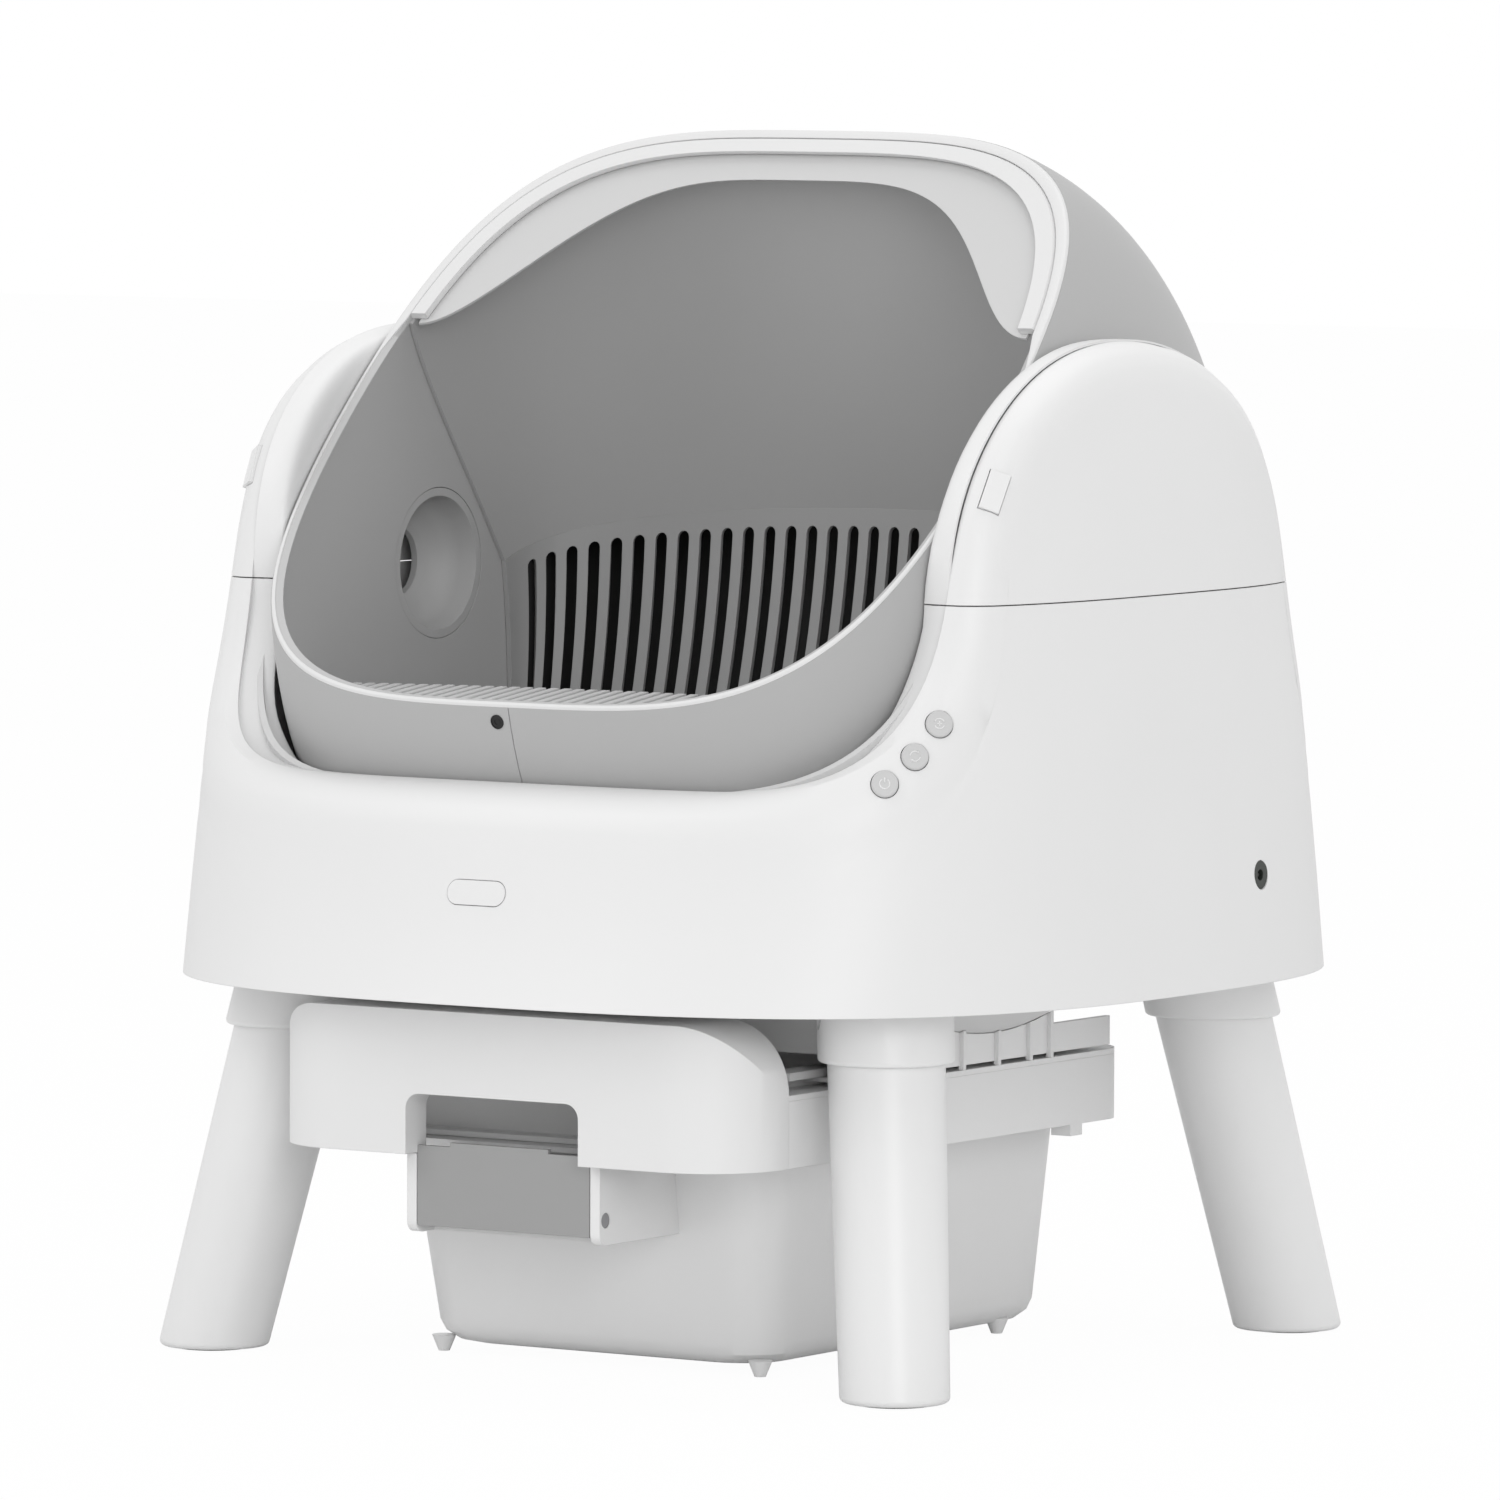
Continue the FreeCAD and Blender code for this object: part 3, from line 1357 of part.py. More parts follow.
def make_chute():
    half, wall = size("chute_half_width"), size("chute_wall")
    low, high = size("chute_bottom"), size("floor_height") + size("floor_wall")
    front, rear = size("chute_front"), size("chute_rear")
    ring = big_box(-half, -front, low, half, rear, high)
    ring = ring.cut(big_box(-half + wall, -front + wall, low - 1, half - wall, rear - wall, high + 1))
    sides = []
    for side in (-1, 1):
        x0, x1 = sorted((side * half, side * (half - wall)))
        sides.append(big_box(x0, rear - 1, low, x1, size("rail_rear"), size("rail_top") + 2))
        for y in (-33.0, 2.0, 34.0, 55.0):
            a, b = sorted((side * (half - 0.5), side * (half + size("chute_rib"))))
            sides.append(big_box(a, y - 1.4, low - 2, b, y + 1.4, high - 6))
    body = ring.fuse(sides).removeSplitter()
    gap = size("fit_gap")
    bowl = barrel(size("cradle_half_width") + gap, size("cradle_radius") + gap, size("cradle_squareness"))
    sockets = [socket_collar(side, -1, gap) for side in (-1, 1)]
    shape_node("waste_chute", body.cut([bowl] + sockets + rail_tunnels(half - wall)))


def make_rails():
    outer = "chute_half_width - chute_wall - fit_gap"
    inner = "chute_half_width - chute_wall - fit_gap - rail_width"
    low, top, wall = "chute_bottom", "rail_top", "rail_wall"
    for side, name in ((-1, "left"), (1, "right")):
        sign = "" if side > 0 else "-1 * "
        points = [(sign + "(" + outer + ")", low), (sign + "(" + outer + ")", top),
                  (sign + "(" + inner + " + 12)", top), (sign + "(" + inner + " + 12)", top + " - " + wall),
                  (sign + "(" + outer + " - " + wall + ")", top + " - " + wall),
                  (sign + "(" + outer + " - " + wall + ")", low + " + " + wall),
                  (sign + "(" + inner + ")", low + " + " + wall), (sign + "(" + inner + ")", low)]
        if side > 0:
            points = points[::-1]
        body = padded(name + "_rail", "XZ_Plane", points, "chute_front + rail_rear", y="rail_rear")
        node(body, name + "_drawer_rail")


def make_drawer():
    half, wall = size("drawer_half_width"), size("drawer_wall")
    front, rear = size("drawer_front"), size("drawer_rear")
    low, top = size("drawer_bottom"), size("drawer_top")
    corner = size("drawer_corner")
    gap = size("fit_gap")

    def slab(inset, z0, z1, open_front=0.0):
        wire = rounded_plan(half - inset, front + open_front, rear - inset, corner - inset, z0)
        return Part.Face(wire).extrude(Vector(0, 0, z1 - z0))

    square = big_box(-half, -front, low, half, -front + corner, top)
    solid = slab(0.0, low, top - wall).fuse(square.common(big_box(-half, -front, low, half, 0, top - wall)))
    hollow = slab(wall, low + wall, top, 40.0)
    bin_hole = rounded_plan(size("bin_half_width") + gap + 0.6, size("bin_front") + gap + 0.6,
                            size("bin_rear") + gap + 0.6, size("bin_corner"), low - 1)
    hole = Part.Face(bin_hole).extrude(Vector(0, 0, 20))
    hooks = []
    for side in (-1, 1):
        a, b = sorted((side * (half - 12), side * half))
        hooks.append(big_box(a, 78, low - 6, b, 90, low + 1))
    frame = solid.cut([hollow, hole]).fuse(hooks).removeSplitter()
    shape_node("drawer_frame", frame)
    lid = slab(0.0, top - wall, top).fuse(big_box(-half, -front, top - wall, half, -front + corner, top))
    opening = rounded_plan(size("bin_half_width") - 8, size("bin_front") - 10, size("bin_rear") - 10,
                           size("bin_corner"), top - 10)
    lid = lid.cut(Part.Face(opening).extrude(Vector(0, 0, 20)))
    runners = []
    rail_inner = size("chute_half_width") - size("chute_wall") - gap - size("rail_width")
    floor = size("chute_bottom") + size("rail_wall")
    for side in (-1, 1):
        stem_out = rail_inner - 1.0
        a, b = sorted((side * stem_out, side * (stem_out - 4)))
        runners.append(big_box(a, -front + 20, top - 0.5, b, rear - 30, floor + 4.5))
        a, b = sorted((side * (stem_out - 1), side * (stem_out + 12)))
        runners.append(big_box(a, -front + 20, floor + gap, b, rear - 30, floor + 4.5))
    shape_node("drawer_top_ring", lid.fuse(runners).removeSplitter())


def fascia_block(inset, back):
    """Solid form of the drawer's front, smaller all round by inset."""
    half = size("drawer_half_width") - inset
    front = size("fascia_front") - inset
    corner = size("fascia_corner") - inset
    low = size("drawer_bottom")
    high = low + size("fascia_height") - inset
    plan = rounded_plan(half, front, -back + corner + 40, corner, low)
    body = Part.Face(plan).extrude(Vector(0, 0, high - low))
    body = body.common(big_box(-half, -front, low, half, -back, high))
    shoulder = size("fascia_shoulder") - inset
    upright = []
    for side in (-1, 1):
        x0, x1 = sorted((side * (half - shoulder), side * (half + 1)))
        edge_box = big_box(x0, -2 * front, high - shoulder, x1, 0, high + 1)
        centre = Vector(side * (half - shoulder), 1, high - shoulder)
        upright.append(edge_box.cut(tube_along(centre, Vector(0, -1, 0), shoulder, 2 * front + 2)))
    return body.cut(upright)


def make_fascia():
    wall = size("drawer_wall")
    back = size("drawer_front")
    low = size("drawer_bottom")
    outer = fascia_block(0.0, back)
    inner = fascia_block(wall, back)
    shell = outer.cut(inner.fuse(fascia_inner_skirt(wall, back)))
    half, high = size("notch_half_width"), low + size("notch_height")
    corner = size("notch_corner")
    front = size("fascia_front")

    def notch(extra, y0, y1):
        body = big_box(-half - extra, y0, low - 1, half + extra, y1, high + extra)
        edges = [e for e in body.Edges if e.BoundBox.YLength > 1 and e.BoundBox.ZMin > high + extra - 0.1]
        return body.makeFillet(corner + extra, edges)

    returns = notch(wall, -front + 0.5, -front + size("notch_return")).common(outer)
    body = shell.fuse(returns).cut(notch(0.0, -front - 5, -front + size("notch_return") + 5))
    shape_node("drawer_fascia", body.removeSplitter())


def fascia_inner_skirt(wall, back):
    """The lowest part of the hollow, which stays open below."""
    half = size("drawer_half_width") - wall
    corner = size("fascia_corner") - wall
    plan = rounded_plan(half, size("fascia_front") - wall, -back + corner + 40, corner, size("drawer_bottom") - 1)
    body = Part.Face(plan).extrude(Vector(0, 0, 10))
    return body.common(big_box(-half, -400, 0, half, -back, 400))


def bin_solid(inset):
    """Tapered tub with round lower edges, as a stack of ruled bands."""
    low, top = size("bin_bottom") + inset, size("bin_top")
    radius = size("bin_round")
    levels = [low + radius * (1 - math.cos(math.radians(a))) for a in (0, 30, 60, 90)] + [top + 2 * inset]
    tucks = [radius * (1 - math.sin(math.radians(a))) for a in (0, 30, 60, 90)] + [0.0]
    wires = []
    for z, tuck in zip(levels, tucks):
        share = (z - size("bin_bottom")) / (size("bin_top") - size("bin_bottom"))
        half = size("bin_foot_half_width") + (size("bin_half_width") - size("bin_foot_half_width")) * share
        front = size("bin_foot_front") + (size("bin_front") - size("bin_foot_front")) * share
        rear = size("bin_foot_rear") + (size("bin_rear") - size("bin_foot_rear")) * share
        less = tuck + inset
        wires.append(rounded_plan(half - less, front - less, rear - less, size("bin_corner") - inset, z))
    return Part.makeLoft(wires, True, True)


def make_bin():
    outer = bin_solid(0.0)
    inner = bin_solid(size("bin_wall"))
    flange_low = size("drawer_bottom") + size("drawer_wall") + size("fit_gap")
    flange = rounded_plan(size("bin_half_width") + size("bin_flange"), size("bin_front") + size("bin_flange"),
                          size("bin_rear") + 8, size("bin_corner"), flange_low)
    flange = Part.Face(flange).extrude(Vector(0, 0, 3))
    nubs = []
    for x in (-size("nub_x"), size("nub_x")):
        for y in (-size("nub_front"), size("nub_rear")):
            low = size("bin_bottom") - size("nub_height")
            foot = Part.makeCone(3.0, 6.5, size("nub_height") + 3.5, Vector(x, y, low))
            nubs.append(foot)
    tub = outer.fuse([flange] + nubs).cut(inner)
    shape_node("waste_bin", tub.removeSplitter())


def make_handle():
    half = size("handle_half_width")
    front, low, high = size("handle_front"), size("handle_low"), size("handle_high")
    wall = size("handle_wall")
    ear = size("ear_wall")
    gap = size("ear_gap")
    pin_z = size("handle_pin_height")
    pin_r = size("handle_pin_radius")
    pin_y = -front + pin_r + 1.5
    share = (low - size("bin_bottom")) / (size("bin_top") - size("bin_bottom"))
    seat = size("bin_foot_front") + (size("bin_front") - size("bin_foot_front")) * share
    ears = []
    for side in (-1, 1):
        a, b = sorted((side * (half + gap), side * (half + gap + ear)))
        body = big_box(a, -front, low - 4, b, -seat + 2, size("drawer_bottom") - gap)
        edges = [e for e in body.Edges if e.BoundBox.XLength > 1 and e.BoundBox.ZMax < low
                 and e.BoundBox.YMax < -front + 1]
        ears.append(body.makeFillet(6.0, edges))
    shelf_half = half + gap + ear
    shelf = big_box(-shelf_half, -front + 16, low - 4, shelf_half, -seat + 2, low - 1)
    mount = shelf.fuse(ears)
    pin_hole = tube_along(Vector(-shelf_half - 5, pin_y, pin_z), Vector(1, 0, 0),
                          pin_r + size("running_fit"), 2 * shelf_half + 10)
    mount = mount.cut([pin_hole, bin_solid(0.0)])
    shape_node("handle_mount", mount.removeSplitter())
    plate = big_box(-half, -front, low, half, -front + wall, high)
    raised = big_box(-half * 0.62, -front, high - 0.5, half * 0.52, -front + wall, high + 2.2)
    grip = big_box(-half, -front, high - 5, half, -front + 9, high - 5 + wall)
    barrel_part = tube_along(Vector(-half, pin_y, pin_z), Vector(1, 0, 0), pin_r + 1.5, 2 * half)
    body = plate.fuse([raised, grip, barrel_part]).removeSplitter()
    body = body.cut(tube_along(Vector(-half - 1, pin_y, pin_z), Vector(1, 0, 0), pin_r, 2 * half + 2))
    shape_node("bin_handle", body.removeSplitter())
    pin = tube_along(Vector(-shelf_half + 0.5, pin_y, pin_z), Vector(1, 0, 0), pin_r, 2 * shelf_half - 1)
    shape_node("handle_pin", pin)


# Controls and electrics


def make_board():
    """Upright board behind the sensor window, with two components on its inner face."""
    low = size("floor_height") + size("floor_wall") + size("fit_gap")
    high = low + size("board_height")
    face = -hull(high)[1] + size("shell_wall") + size("board_setback")
    half, thin = size("board_half_width"), size("board_wall")
    board = big_box(-half, face - thin, low, half, face, high)
    parts = [board]
    for x0, width, depth, height in BOARD_PARTS:
        parts.append(big_box(x0, face, low + 6, x0 + width, face + depth, low + 6 + height))
    shape_node("control_board", board.fuse(parts[1:]).removeSplitter())


def make_controls():
    names = ("power_button", "cycle_button", "level_button")
    for name, (point, normal) in zip(names, button_places()):
        start = point + normal * (size("button_proud") - size("button_height"))
        cap = tube_along(start, normal, size("button_radius"), size("button_height"))
        rims = [e for e in cap.Edges if (e.CenterOfMass - point).dot(normal) > 0.5 and e.Length > 20
                and len(e.Vertexes) == 1 and abs((e.valueAt(0.3) - point).dot(normal) - size("button_proud")) < 0.01]
        cap = cap.makeFillet(0.9, rims)
        shape_node(name, cap)
        print(name, "at", [round(v, 3) for v in point], "axis", [round(v, 5) for v in normal])
    frame = window_place()
    lens = pill(size("window_length"), size("window_width"), -size("shell_wall"), 0.5)
    lens.Placement = frame
    shape_node("sensor_window", lens)
    spot = jack_place()
    radius = size("jack_radius")
    body = tube_along(spot - Vector(11, 0, 0), Vector(1, 0, 0), radius, 10.4)
    body = body.cut(tube_along(spot - Vector(9, 0, 0), Vector(1, 0, 0), 3.0, 12))
    pin = tube_along(spot - Vector(10, 0, 0), Vector(1, 0, 0), 1.0, 8)
    shape_node("power_jack", body.fuse(pin).removeSplitter())
    make_board()
    stand = "0 - gear_plane - pedestal_thickness"
    bracket = fuse(block(stand + " - 8", "0 - 8", "axis_height - 62", "2", "16", "80"),
                   block(stand + " - 8", "0 - 8", "axis_height - 62", "7.7", "16", "12"),
                   block(stand + " - 7", "0 - 8", "axis_height + 6", "4", "5", "3"))
    node(bracket, "presence_sensor")


make_housing()
make_cradle()
make_floor()
make_pedestals()
make_drum_shells()
make_liners()
make_back_wall()
make_sieve()
make_step()
make_rim()
make_guard()
make_hubs()
make_gears()
make_motor()
make_legs()
make_chute()
make_rails()
make_drawer()
make_fascia()
make_bin()
make_handle()
make_controls()
shape_node("seam_screw", seam_screw(-0.2))

doc.recompute()
faults = [item.Label for item in doc.Objects if {"Invalid", "Error"} & set(item.State)]
if faults:
    raise RuntimeError("objects failed: " + ", ".join(faults))
for piece in NODES:
    if piece.Shape.isNull() or not piece.Shape.isValid() or not piece.Shape.Solids:
        raise RuntimeError("shape failed: " + piece.Label)
for piece in NODES:
    piece.Shape.exportStep("parts/" + piece.Label + ".step")
    print(piece.Label, len(piece.Shape.Solids), round(piece.Shape.Volume))
print("pieces", len(NODES))
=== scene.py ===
# %% [markdown]
# A self-cleaning litter box: a grey drum turns inside a white base on four legs.
# The solids come finished from the frame, so this lesson is about the last tenth of the
# work: light, camera, surfaces, a few skins that bend both ways, and the small marks that
# make moulded plastic look real.

# %% Load the frame
import json
import math

import bpy
from mathutils import Euler, Matrix, Vector


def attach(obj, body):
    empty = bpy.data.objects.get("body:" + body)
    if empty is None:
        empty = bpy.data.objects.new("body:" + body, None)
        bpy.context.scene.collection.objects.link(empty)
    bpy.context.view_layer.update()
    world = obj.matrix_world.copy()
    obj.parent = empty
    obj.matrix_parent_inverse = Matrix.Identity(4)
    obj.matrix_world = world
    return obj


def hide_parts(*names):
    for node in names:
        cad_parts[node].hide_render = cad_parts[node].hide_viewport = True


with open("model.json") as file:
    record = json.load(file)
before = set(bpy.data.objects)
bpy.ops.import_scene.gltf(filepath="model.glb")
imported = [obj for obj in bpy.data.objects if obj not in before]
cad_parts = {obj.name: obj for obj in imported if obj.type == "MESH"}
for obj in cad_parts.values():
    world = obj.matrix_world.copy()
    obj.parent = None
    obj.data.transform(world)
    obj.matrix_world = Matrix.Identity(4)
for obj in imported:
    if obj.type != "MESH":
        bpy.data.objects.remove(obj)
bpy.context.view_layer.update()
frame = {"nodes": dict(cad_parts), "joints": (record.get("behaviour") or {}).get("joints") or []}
NODES = frame["nodes"]
MM = 0.001

# %% [markdown]
# Everything that was just imported is still selected. Blender's operators act on the
# selection, so a clean start is a habit worth having: nothing selected, nothing active.

# %% Select nothing
def select_only(*things):
    """Leave only these objects selected, with the first one active."""
    if bpy.context.object and bpy.context.object.mode != "OBJECT":
        bpy.ops.object.mode_set(mode="OBJECT")
    bpy.ops.object.select_all(action="DESELECT")
    for thing in things:
        thing.select_set(True)
    bpy.context.view_layer.objects.active = things[0] if things else None


select_only()
print("selected", len(bpy.context.selected_objects))

# %% [markdown]
# The picture was taken with a long lens from the front right, a little above the axis
# of the drum. A long lens from far away keeps upright edges nearly parallel. The camera
# was fitted to the feet and the outline, so its place is written as plain numbers.

# %% Camera
CAMERA_PLACE = Vector((3.3707, -5.1978, 0.7419))
CAMERA_TURN = 33.0
CAMERA_DOWN = 3.93
CAMERA_ROLL = 0.25
CAMERA_LENS = 278.4
SENSOR_WIDTH = 36.0
CAMERA_SIGHT = 50.0

lens = bpy.data.cameras.new("camera")
lens.lens = CAMERA_LENS
lens.sensor_width = SENSOR_WIDTH
lens.clip_end = CAMERA_SIGHT
camera = bpy.data.objects.new("camera", lens)
bpy.context.scene.collection.objects.link(camera)
aim = Euler((math.radians(90 - CAMERA_DOWN), 0, math.radians(CAMERA_TURN))).to_matrix()
roll = Matrix.Rotation(math.radians(CAMERA_ROLL), 3, "Z")
camera.matrix_world = Matrix.Translation(CAMERA_PLACE) @ (aim @ roll).to_4x4()
bpy.context.scene.camera = camera
bpy.context.scene.view_settings.view_transform = "Standard"
print("camera", [round(v, 3) for v in camera.location])

# %% [markdown]
# White plastic is all about soft light. One large lamp stands high at the front left, one
# low at the front right, and one hangs above. A bright surround fills the shadows. It is a
# little weaker for light than for the eye, so the background stays white and the white
# housing still shows its form.

# %% Light and surround
SURROUND_LIGHT = 0.80
SURROUND_SEEN = 1.0
LAMPS = (
    # name, place, target, size in metres, power in watts
    ("key_lamp", (-1.5, -2.2, 2.6), (0, 0, 0.35), 1.8, 17),
    ("fill_lamp", (2.7, -2.9, 1.2), (0, 0, 0.35), 1.6, 27),
    ("top_lamp", (0.3, 0.6, 2.8), (0, 0, 0.4), 2.0, 14),
)


def area_lamp(name, place, target, size, power):
    """Square soft lamp at a place, turned to a target."""
    data = bpy.data.lights.new(name, "AREA")
    data.size = size
    data.energy = power
    lamp = bpy.data.objects.new(name, data)
    lamp.location = place
    lamp.rotation_mode = "QUATERNION"
    lamp.rotation_quaternion = (Vector(target) - Vector(place)).to_track_quat("-Z", "Y")
    bpy.context.scene.collection.objects.link(lamp)


for lamp_row in LAMPS:
    area_lamp(*lamp_row)

world = bpy.data.worlds.new("surround")
bpy.context.scene.world = world
world.use_nodes = True
tree = world.node_tree
tree.nodes.clear()
path = tree.nodes.new("ShaderNodeLightPath")
seen = tree.nodes.new("ShaderNodeMath")
seen.operation = "MAXIMUM"
tree.links.new(path.outputs["Is Camera Ray"], seen.inputs[0])
tree.links.new(path.outputs["Is Glossy Ray"], seen.inputs[1])
either = tree.nodes.new("ShaderNodeMath")
either.operation = "MAXIMUM"
tree.links.new(seen.outputs[0], either.inputs[0])
tree.links.new(path.outputs["Is Transmission Ray"], either.inputs[1])
strength = tree.nodes.new("ShaderNodeMapRange")
strength.inputs["To Min"].default_value = SURROUND_LIGHT
strength.inputs["To Max"].default_value = SURROUND_SEEN
tree.links.new(either.outputs[0], strength.inputs["Value"])
glow = tree.nodes.new("ShaderNodeBackground")
glow.inputs["Color"].default_value = (1, 1, 1, 1)
tree.links.new(strength.outputs["Result"], glow.inputs["Strength"])
out = tree.nodes.new("ShaderNodeOutputWorld")
tree.links.new(glow.outputs["Background"], out.inputs["Surface"])

# %% [markdown]
# The floor is one large pale plane that keeps the soft shadow of the feet and of the
# bin. Seen by the camera it glows a little, so that it runs into the white background
# without a hard horizon.

# %% Floor
FLOOR_REACH = 30.0
FLOOR_TONE = 0.86
FLOOR_GLOW = 0.97

select_only()
bpy.ops.mesh.primitive_plane_add(size=FLOOR_REACH, location=(0, 0, 0))
floor = bpy.context.object
floor.name = "floor"
ground = bpy.data.materials.new("pale_floor")
ground.use_nodes = True
tree = ground.node_tree
tree.nodes.clear()
matt = tree.nodes.new("ShaderNodeBsdfDiffuse")
matt.inputs["Color"].default_value = (FLOOR_TONE, FLOOR_TONE, FLOOR_TONE, 1)
shine = tree.nodes.new("ShaderNodeEmission")
shine.inputs["Color"].default_value = (1, 1, 1, 1)
path = tree.nodes.new("ShaderNodeLightPath")
share = tree.nodes.new("ShaderNodeMath")
share.operation = "MULTIPLY"
share.inputs[1].default_value = FLOOR_GLOW
tree.links.new(path.outputs["Is Camera Ray"], share.inputs[0])
blend = tree.nodes.new("ShaderNodeMixShader")
tree.links.new(share.outputs[0], blend.inputs["Fac"])
tree.links.new(matt.outputs["BSDF"], blend.inputs[1])
tree.links.new(shine.outputs["Emission"], blend.inputs[2])
out = tree.nodes.new("ShaderNodeOutputMaterial")
tree.links.new(blend.outputs["Shader"], out.inputs["Surface"])
floor.data.materials.append(ground)
print("floor", FLOOR_REACH, "m")

# %% [markdown]
# Moulded plastic is never one flat colour. Its skin has a fine spark-eroded grain, a
# very slow change of shade where the wall gets thicker, and a gloss that is a little
# uneven. All of it comes from noise on the object's own coordinates, so it stays on the
# piece when the drum turns. A Bevel node rounds the shading of each sharp edge, the way a
# mould's edge is never a knife.

# %% A maker of moulded plastic
SLOW_SCALE, SLOW_DETAIL = 5.0, 2.0
FINE_DETAIL = 3.0
SHADE_CHANGE = 0.03
GLOSS_CHANGE = 0.05
BUMP_SHARE = 0.3
EDGE_ROUND = 0.0006
EDGE_SAMPLES = 4
SHEEN = 0.5


def moulded(name, colour, roughness, grain=0.0006, depth=0.05):
    """Plastic with a fine grain, a slow change of shade and softened edges."""
    material = bpy.data.materials.new(name)
    material.use_nodes = True
    nodes, links = material.node_tree.nodes, material.node_tree.links
    nodes.clear()
    out = nodes.new("ShaderNodeOutputMaterial")
    skin = nodes.new("ShaderNodeBsdfPrincipled")
    links.new(skin.outputs["BSDF"], out.inputs["Surface"])
    skin.inputs["Specular IOR Level"].default_value = SHEEN
    place = nodes.new("ShaderNodeTexCoord")
    slow = nodes.new("ShaderNodeTexNoise")
    slow.inputs["Scale"].default_value = SLOW_SCALE
    slow.inputs["Detail"].default_value = SLOW_DETAIL
    links.new(place.outputs["Object"], slow.inputs["Vector"])
    tint = nodes.new("ShaderNodeMix")
    tint.data_type = "RGBA"
    darker = tuple(c * (1 - SHADE_CHANGE) for c in colour)
    lighter = tuple(min(c * (1 + SHADE_CHANGE), 1) for c in colour)
    tint.inputs["A"].default_value = darker + (1,)
    tint.inputs["B"].default_value = lighter + (1,)
    links.new(slow.outputs["Fac"], tint.inputs["Factor"])
    links.new(tint.outputs["Result"], skin.inputs["Base Color"])
    fine = nodes.new("ShaderNodeTexNoise")
    fine.inputs["Scale"].default_value = 1.0 / grain
    fine.inputs["Detail"].default_value = FINE_DETAIL
    links.new(place.outputs["Object"], fine.inputs["Vector"])
    gloss = nodes.new("ShaderNodeMapRange")
    gloss.inputs["To Min"].default_value = roughness - GLOSS_CHANGE
    gloss.inputs["To Max"].default_value = roughness + GLOSS_CHANGE
    links.new(fine.outputs["Fac"], gloss.inputs["Value"])
    links.new(gloss.outputs["Result"], skin.inputs["Roughness"])
    soft = nodes.new("ShaderNodeBevel")
    soft.samples = EDGE_SAMPLES
    soft.inputs["Radius"].default_value = EDGE_ROUND
    bump = nodes.new("ShaderNodeBump")
    bump.inputs["Strength"].default_value = depth
    bump.inputs["Distance"].default_value = grain * BUMP_SHARE
    links.new(fine.outputs["Fac"], bump.inputs["Height"])
    links.new(soft.outputs["Normal"], bump.inputs["Normal"])
    links.new(bump.outputs["Normal"], skin.inputs["Normal"])
    return material


housing_white = moulded("housing_white", (0.77, 0.77, 0.77), 0.42)
leg_white = moulded("leg_white", (0.78, 0.78, 0.78), 0.36)
bin_white = moulded("bin_white", (0.80, 0.80, 0.80), 0.38)
inner_white = moulded("inner_white", (0.66, 0.66, 0.66), 0.55)
drum_grey = moulded("drum_grey", (0.43, 0.43, 0.43), 0.48, depth=0.08)
panel_grey = moulded("panel_grey", (0.50, 0.50, 0.50), 0.55, depth=0.1)
wall_grey = moulded("wall_grey", (0.47, 0.47, 0.47), 0.55, depth=0.1)
sieve_grey = moulded("sieve_grey", (0.40, 0.40, 0.40), 0.50, depth=0.1)
step_grey = moulded("step_grey", (0.56, 0.56, 0.56), 0.55, depth=0.1)
trim_white = moulded("trim_white", (0.71, 0.71, 0.71), 0.38)
guard_white = moulded("guard_white", (0.57, 0.57, 0.57), 0.45)
handle_grey = moulded("handle_grey", (0.33, 0.33, 0.33), 0.46)
mark_grey = moulded("mark_grey", (0.80, 0.80, 0.80), 0.45)
button_grey = moulded("button_grey", (0.55, 0.55, 0.55), 0.40)
gear_nylon = moulded("gear_nylon", (0.62, 0.62, 0.58), 0.45)
pad_rubber = moulded("pad_rubber", (0.20, 0.20, 0.20), 0.80, grain=0.0012, depth=0.25)
# Near black: painted shade for the sheets behind the sieve.
painted_shade_black = moulded("painted_shade_black", (0.03, 0.03, 0.03), 0.7)
dark_electrics = moulded("dark_electrics", (0.03, 0.035, 0.03), 0.40)
print("plastics", len([m for m in bpy.data.materials if m.use_nodes]))

# %% [markdown]
# The drum is a barrel: a rounded rectangle turned about a level axis. Inside, behind the
# sieve, its shells are painted near black: painted shade for the deep waste side, where
# little light comes back. The same shells are grey outside. One material does both: it
# works out how near a point is to the barrel's outer form and picks the colour.

# %% Painted shade inside the drum's shells
AXIS_HEIGHT = 410 * MM
DRUM_HALF = 213 * MM
DRUM_RADIUS = 245 * MM
SQUARENESS = 3.6
DARK_FORM, PALE_FORM = 0.968, 0.98
# Near-black painted shade for the shells' inner skin behind the sieve.
INSIDE_PAINTED_SHADE = (0.035, 0.035, 0.035)


def math_node(tree, operation, first, second=0.0):
    """One Math node; each input is a number or a socket."""
    step = tree.nodes.new("ShaderNodeMath")
    step.operation = operation
    for socket, value in zip(step.inputs, (first, second)):
        if isinstance(value, (int, float)):
            socket.default_value = value
        else:
            tree.links.new(value, socket)
    return step.outputs[0]


def barrel_form(tree):
    """Value that is 1 on the barrel's outer form and smaller inside it."""
    place = tree.nodes.new("ShaderNodeTexCoord")
    parts = tree.nodes.new("ShaderNodeSeparateXYZ")
    tree.links.new(place.outputs["Object"], parts.inputs["Vector"])
    across = math_node(tree, "ABSOLUTE", parts.outputs["X"])
    depth = math_node(tree, "ABSOLUTE", parts.outputs["Y"])
    above = math_node(tree, "SUBTRACT", parts.outputs["Z"], AXIS_HEIGHT)
    squares = [math_node(tree, "POWER", value, 2.0)
               for value in (math_node(tree, "ABSOLUTE", above), depth)]
    away = math_node(tree, "SQRT", math_node(tree, "ADD", *squares))
    shares = [math_node(tree, "DIVIDE", value, reach)
              for value, reach in ((across, DRUM_HALF), (away, DRUM_RADIUS))]
    powers = [math_node(tree, "POWER", share, SQUARENESS) for share in shares]
    return math_node(tree, "ADD", *powers)


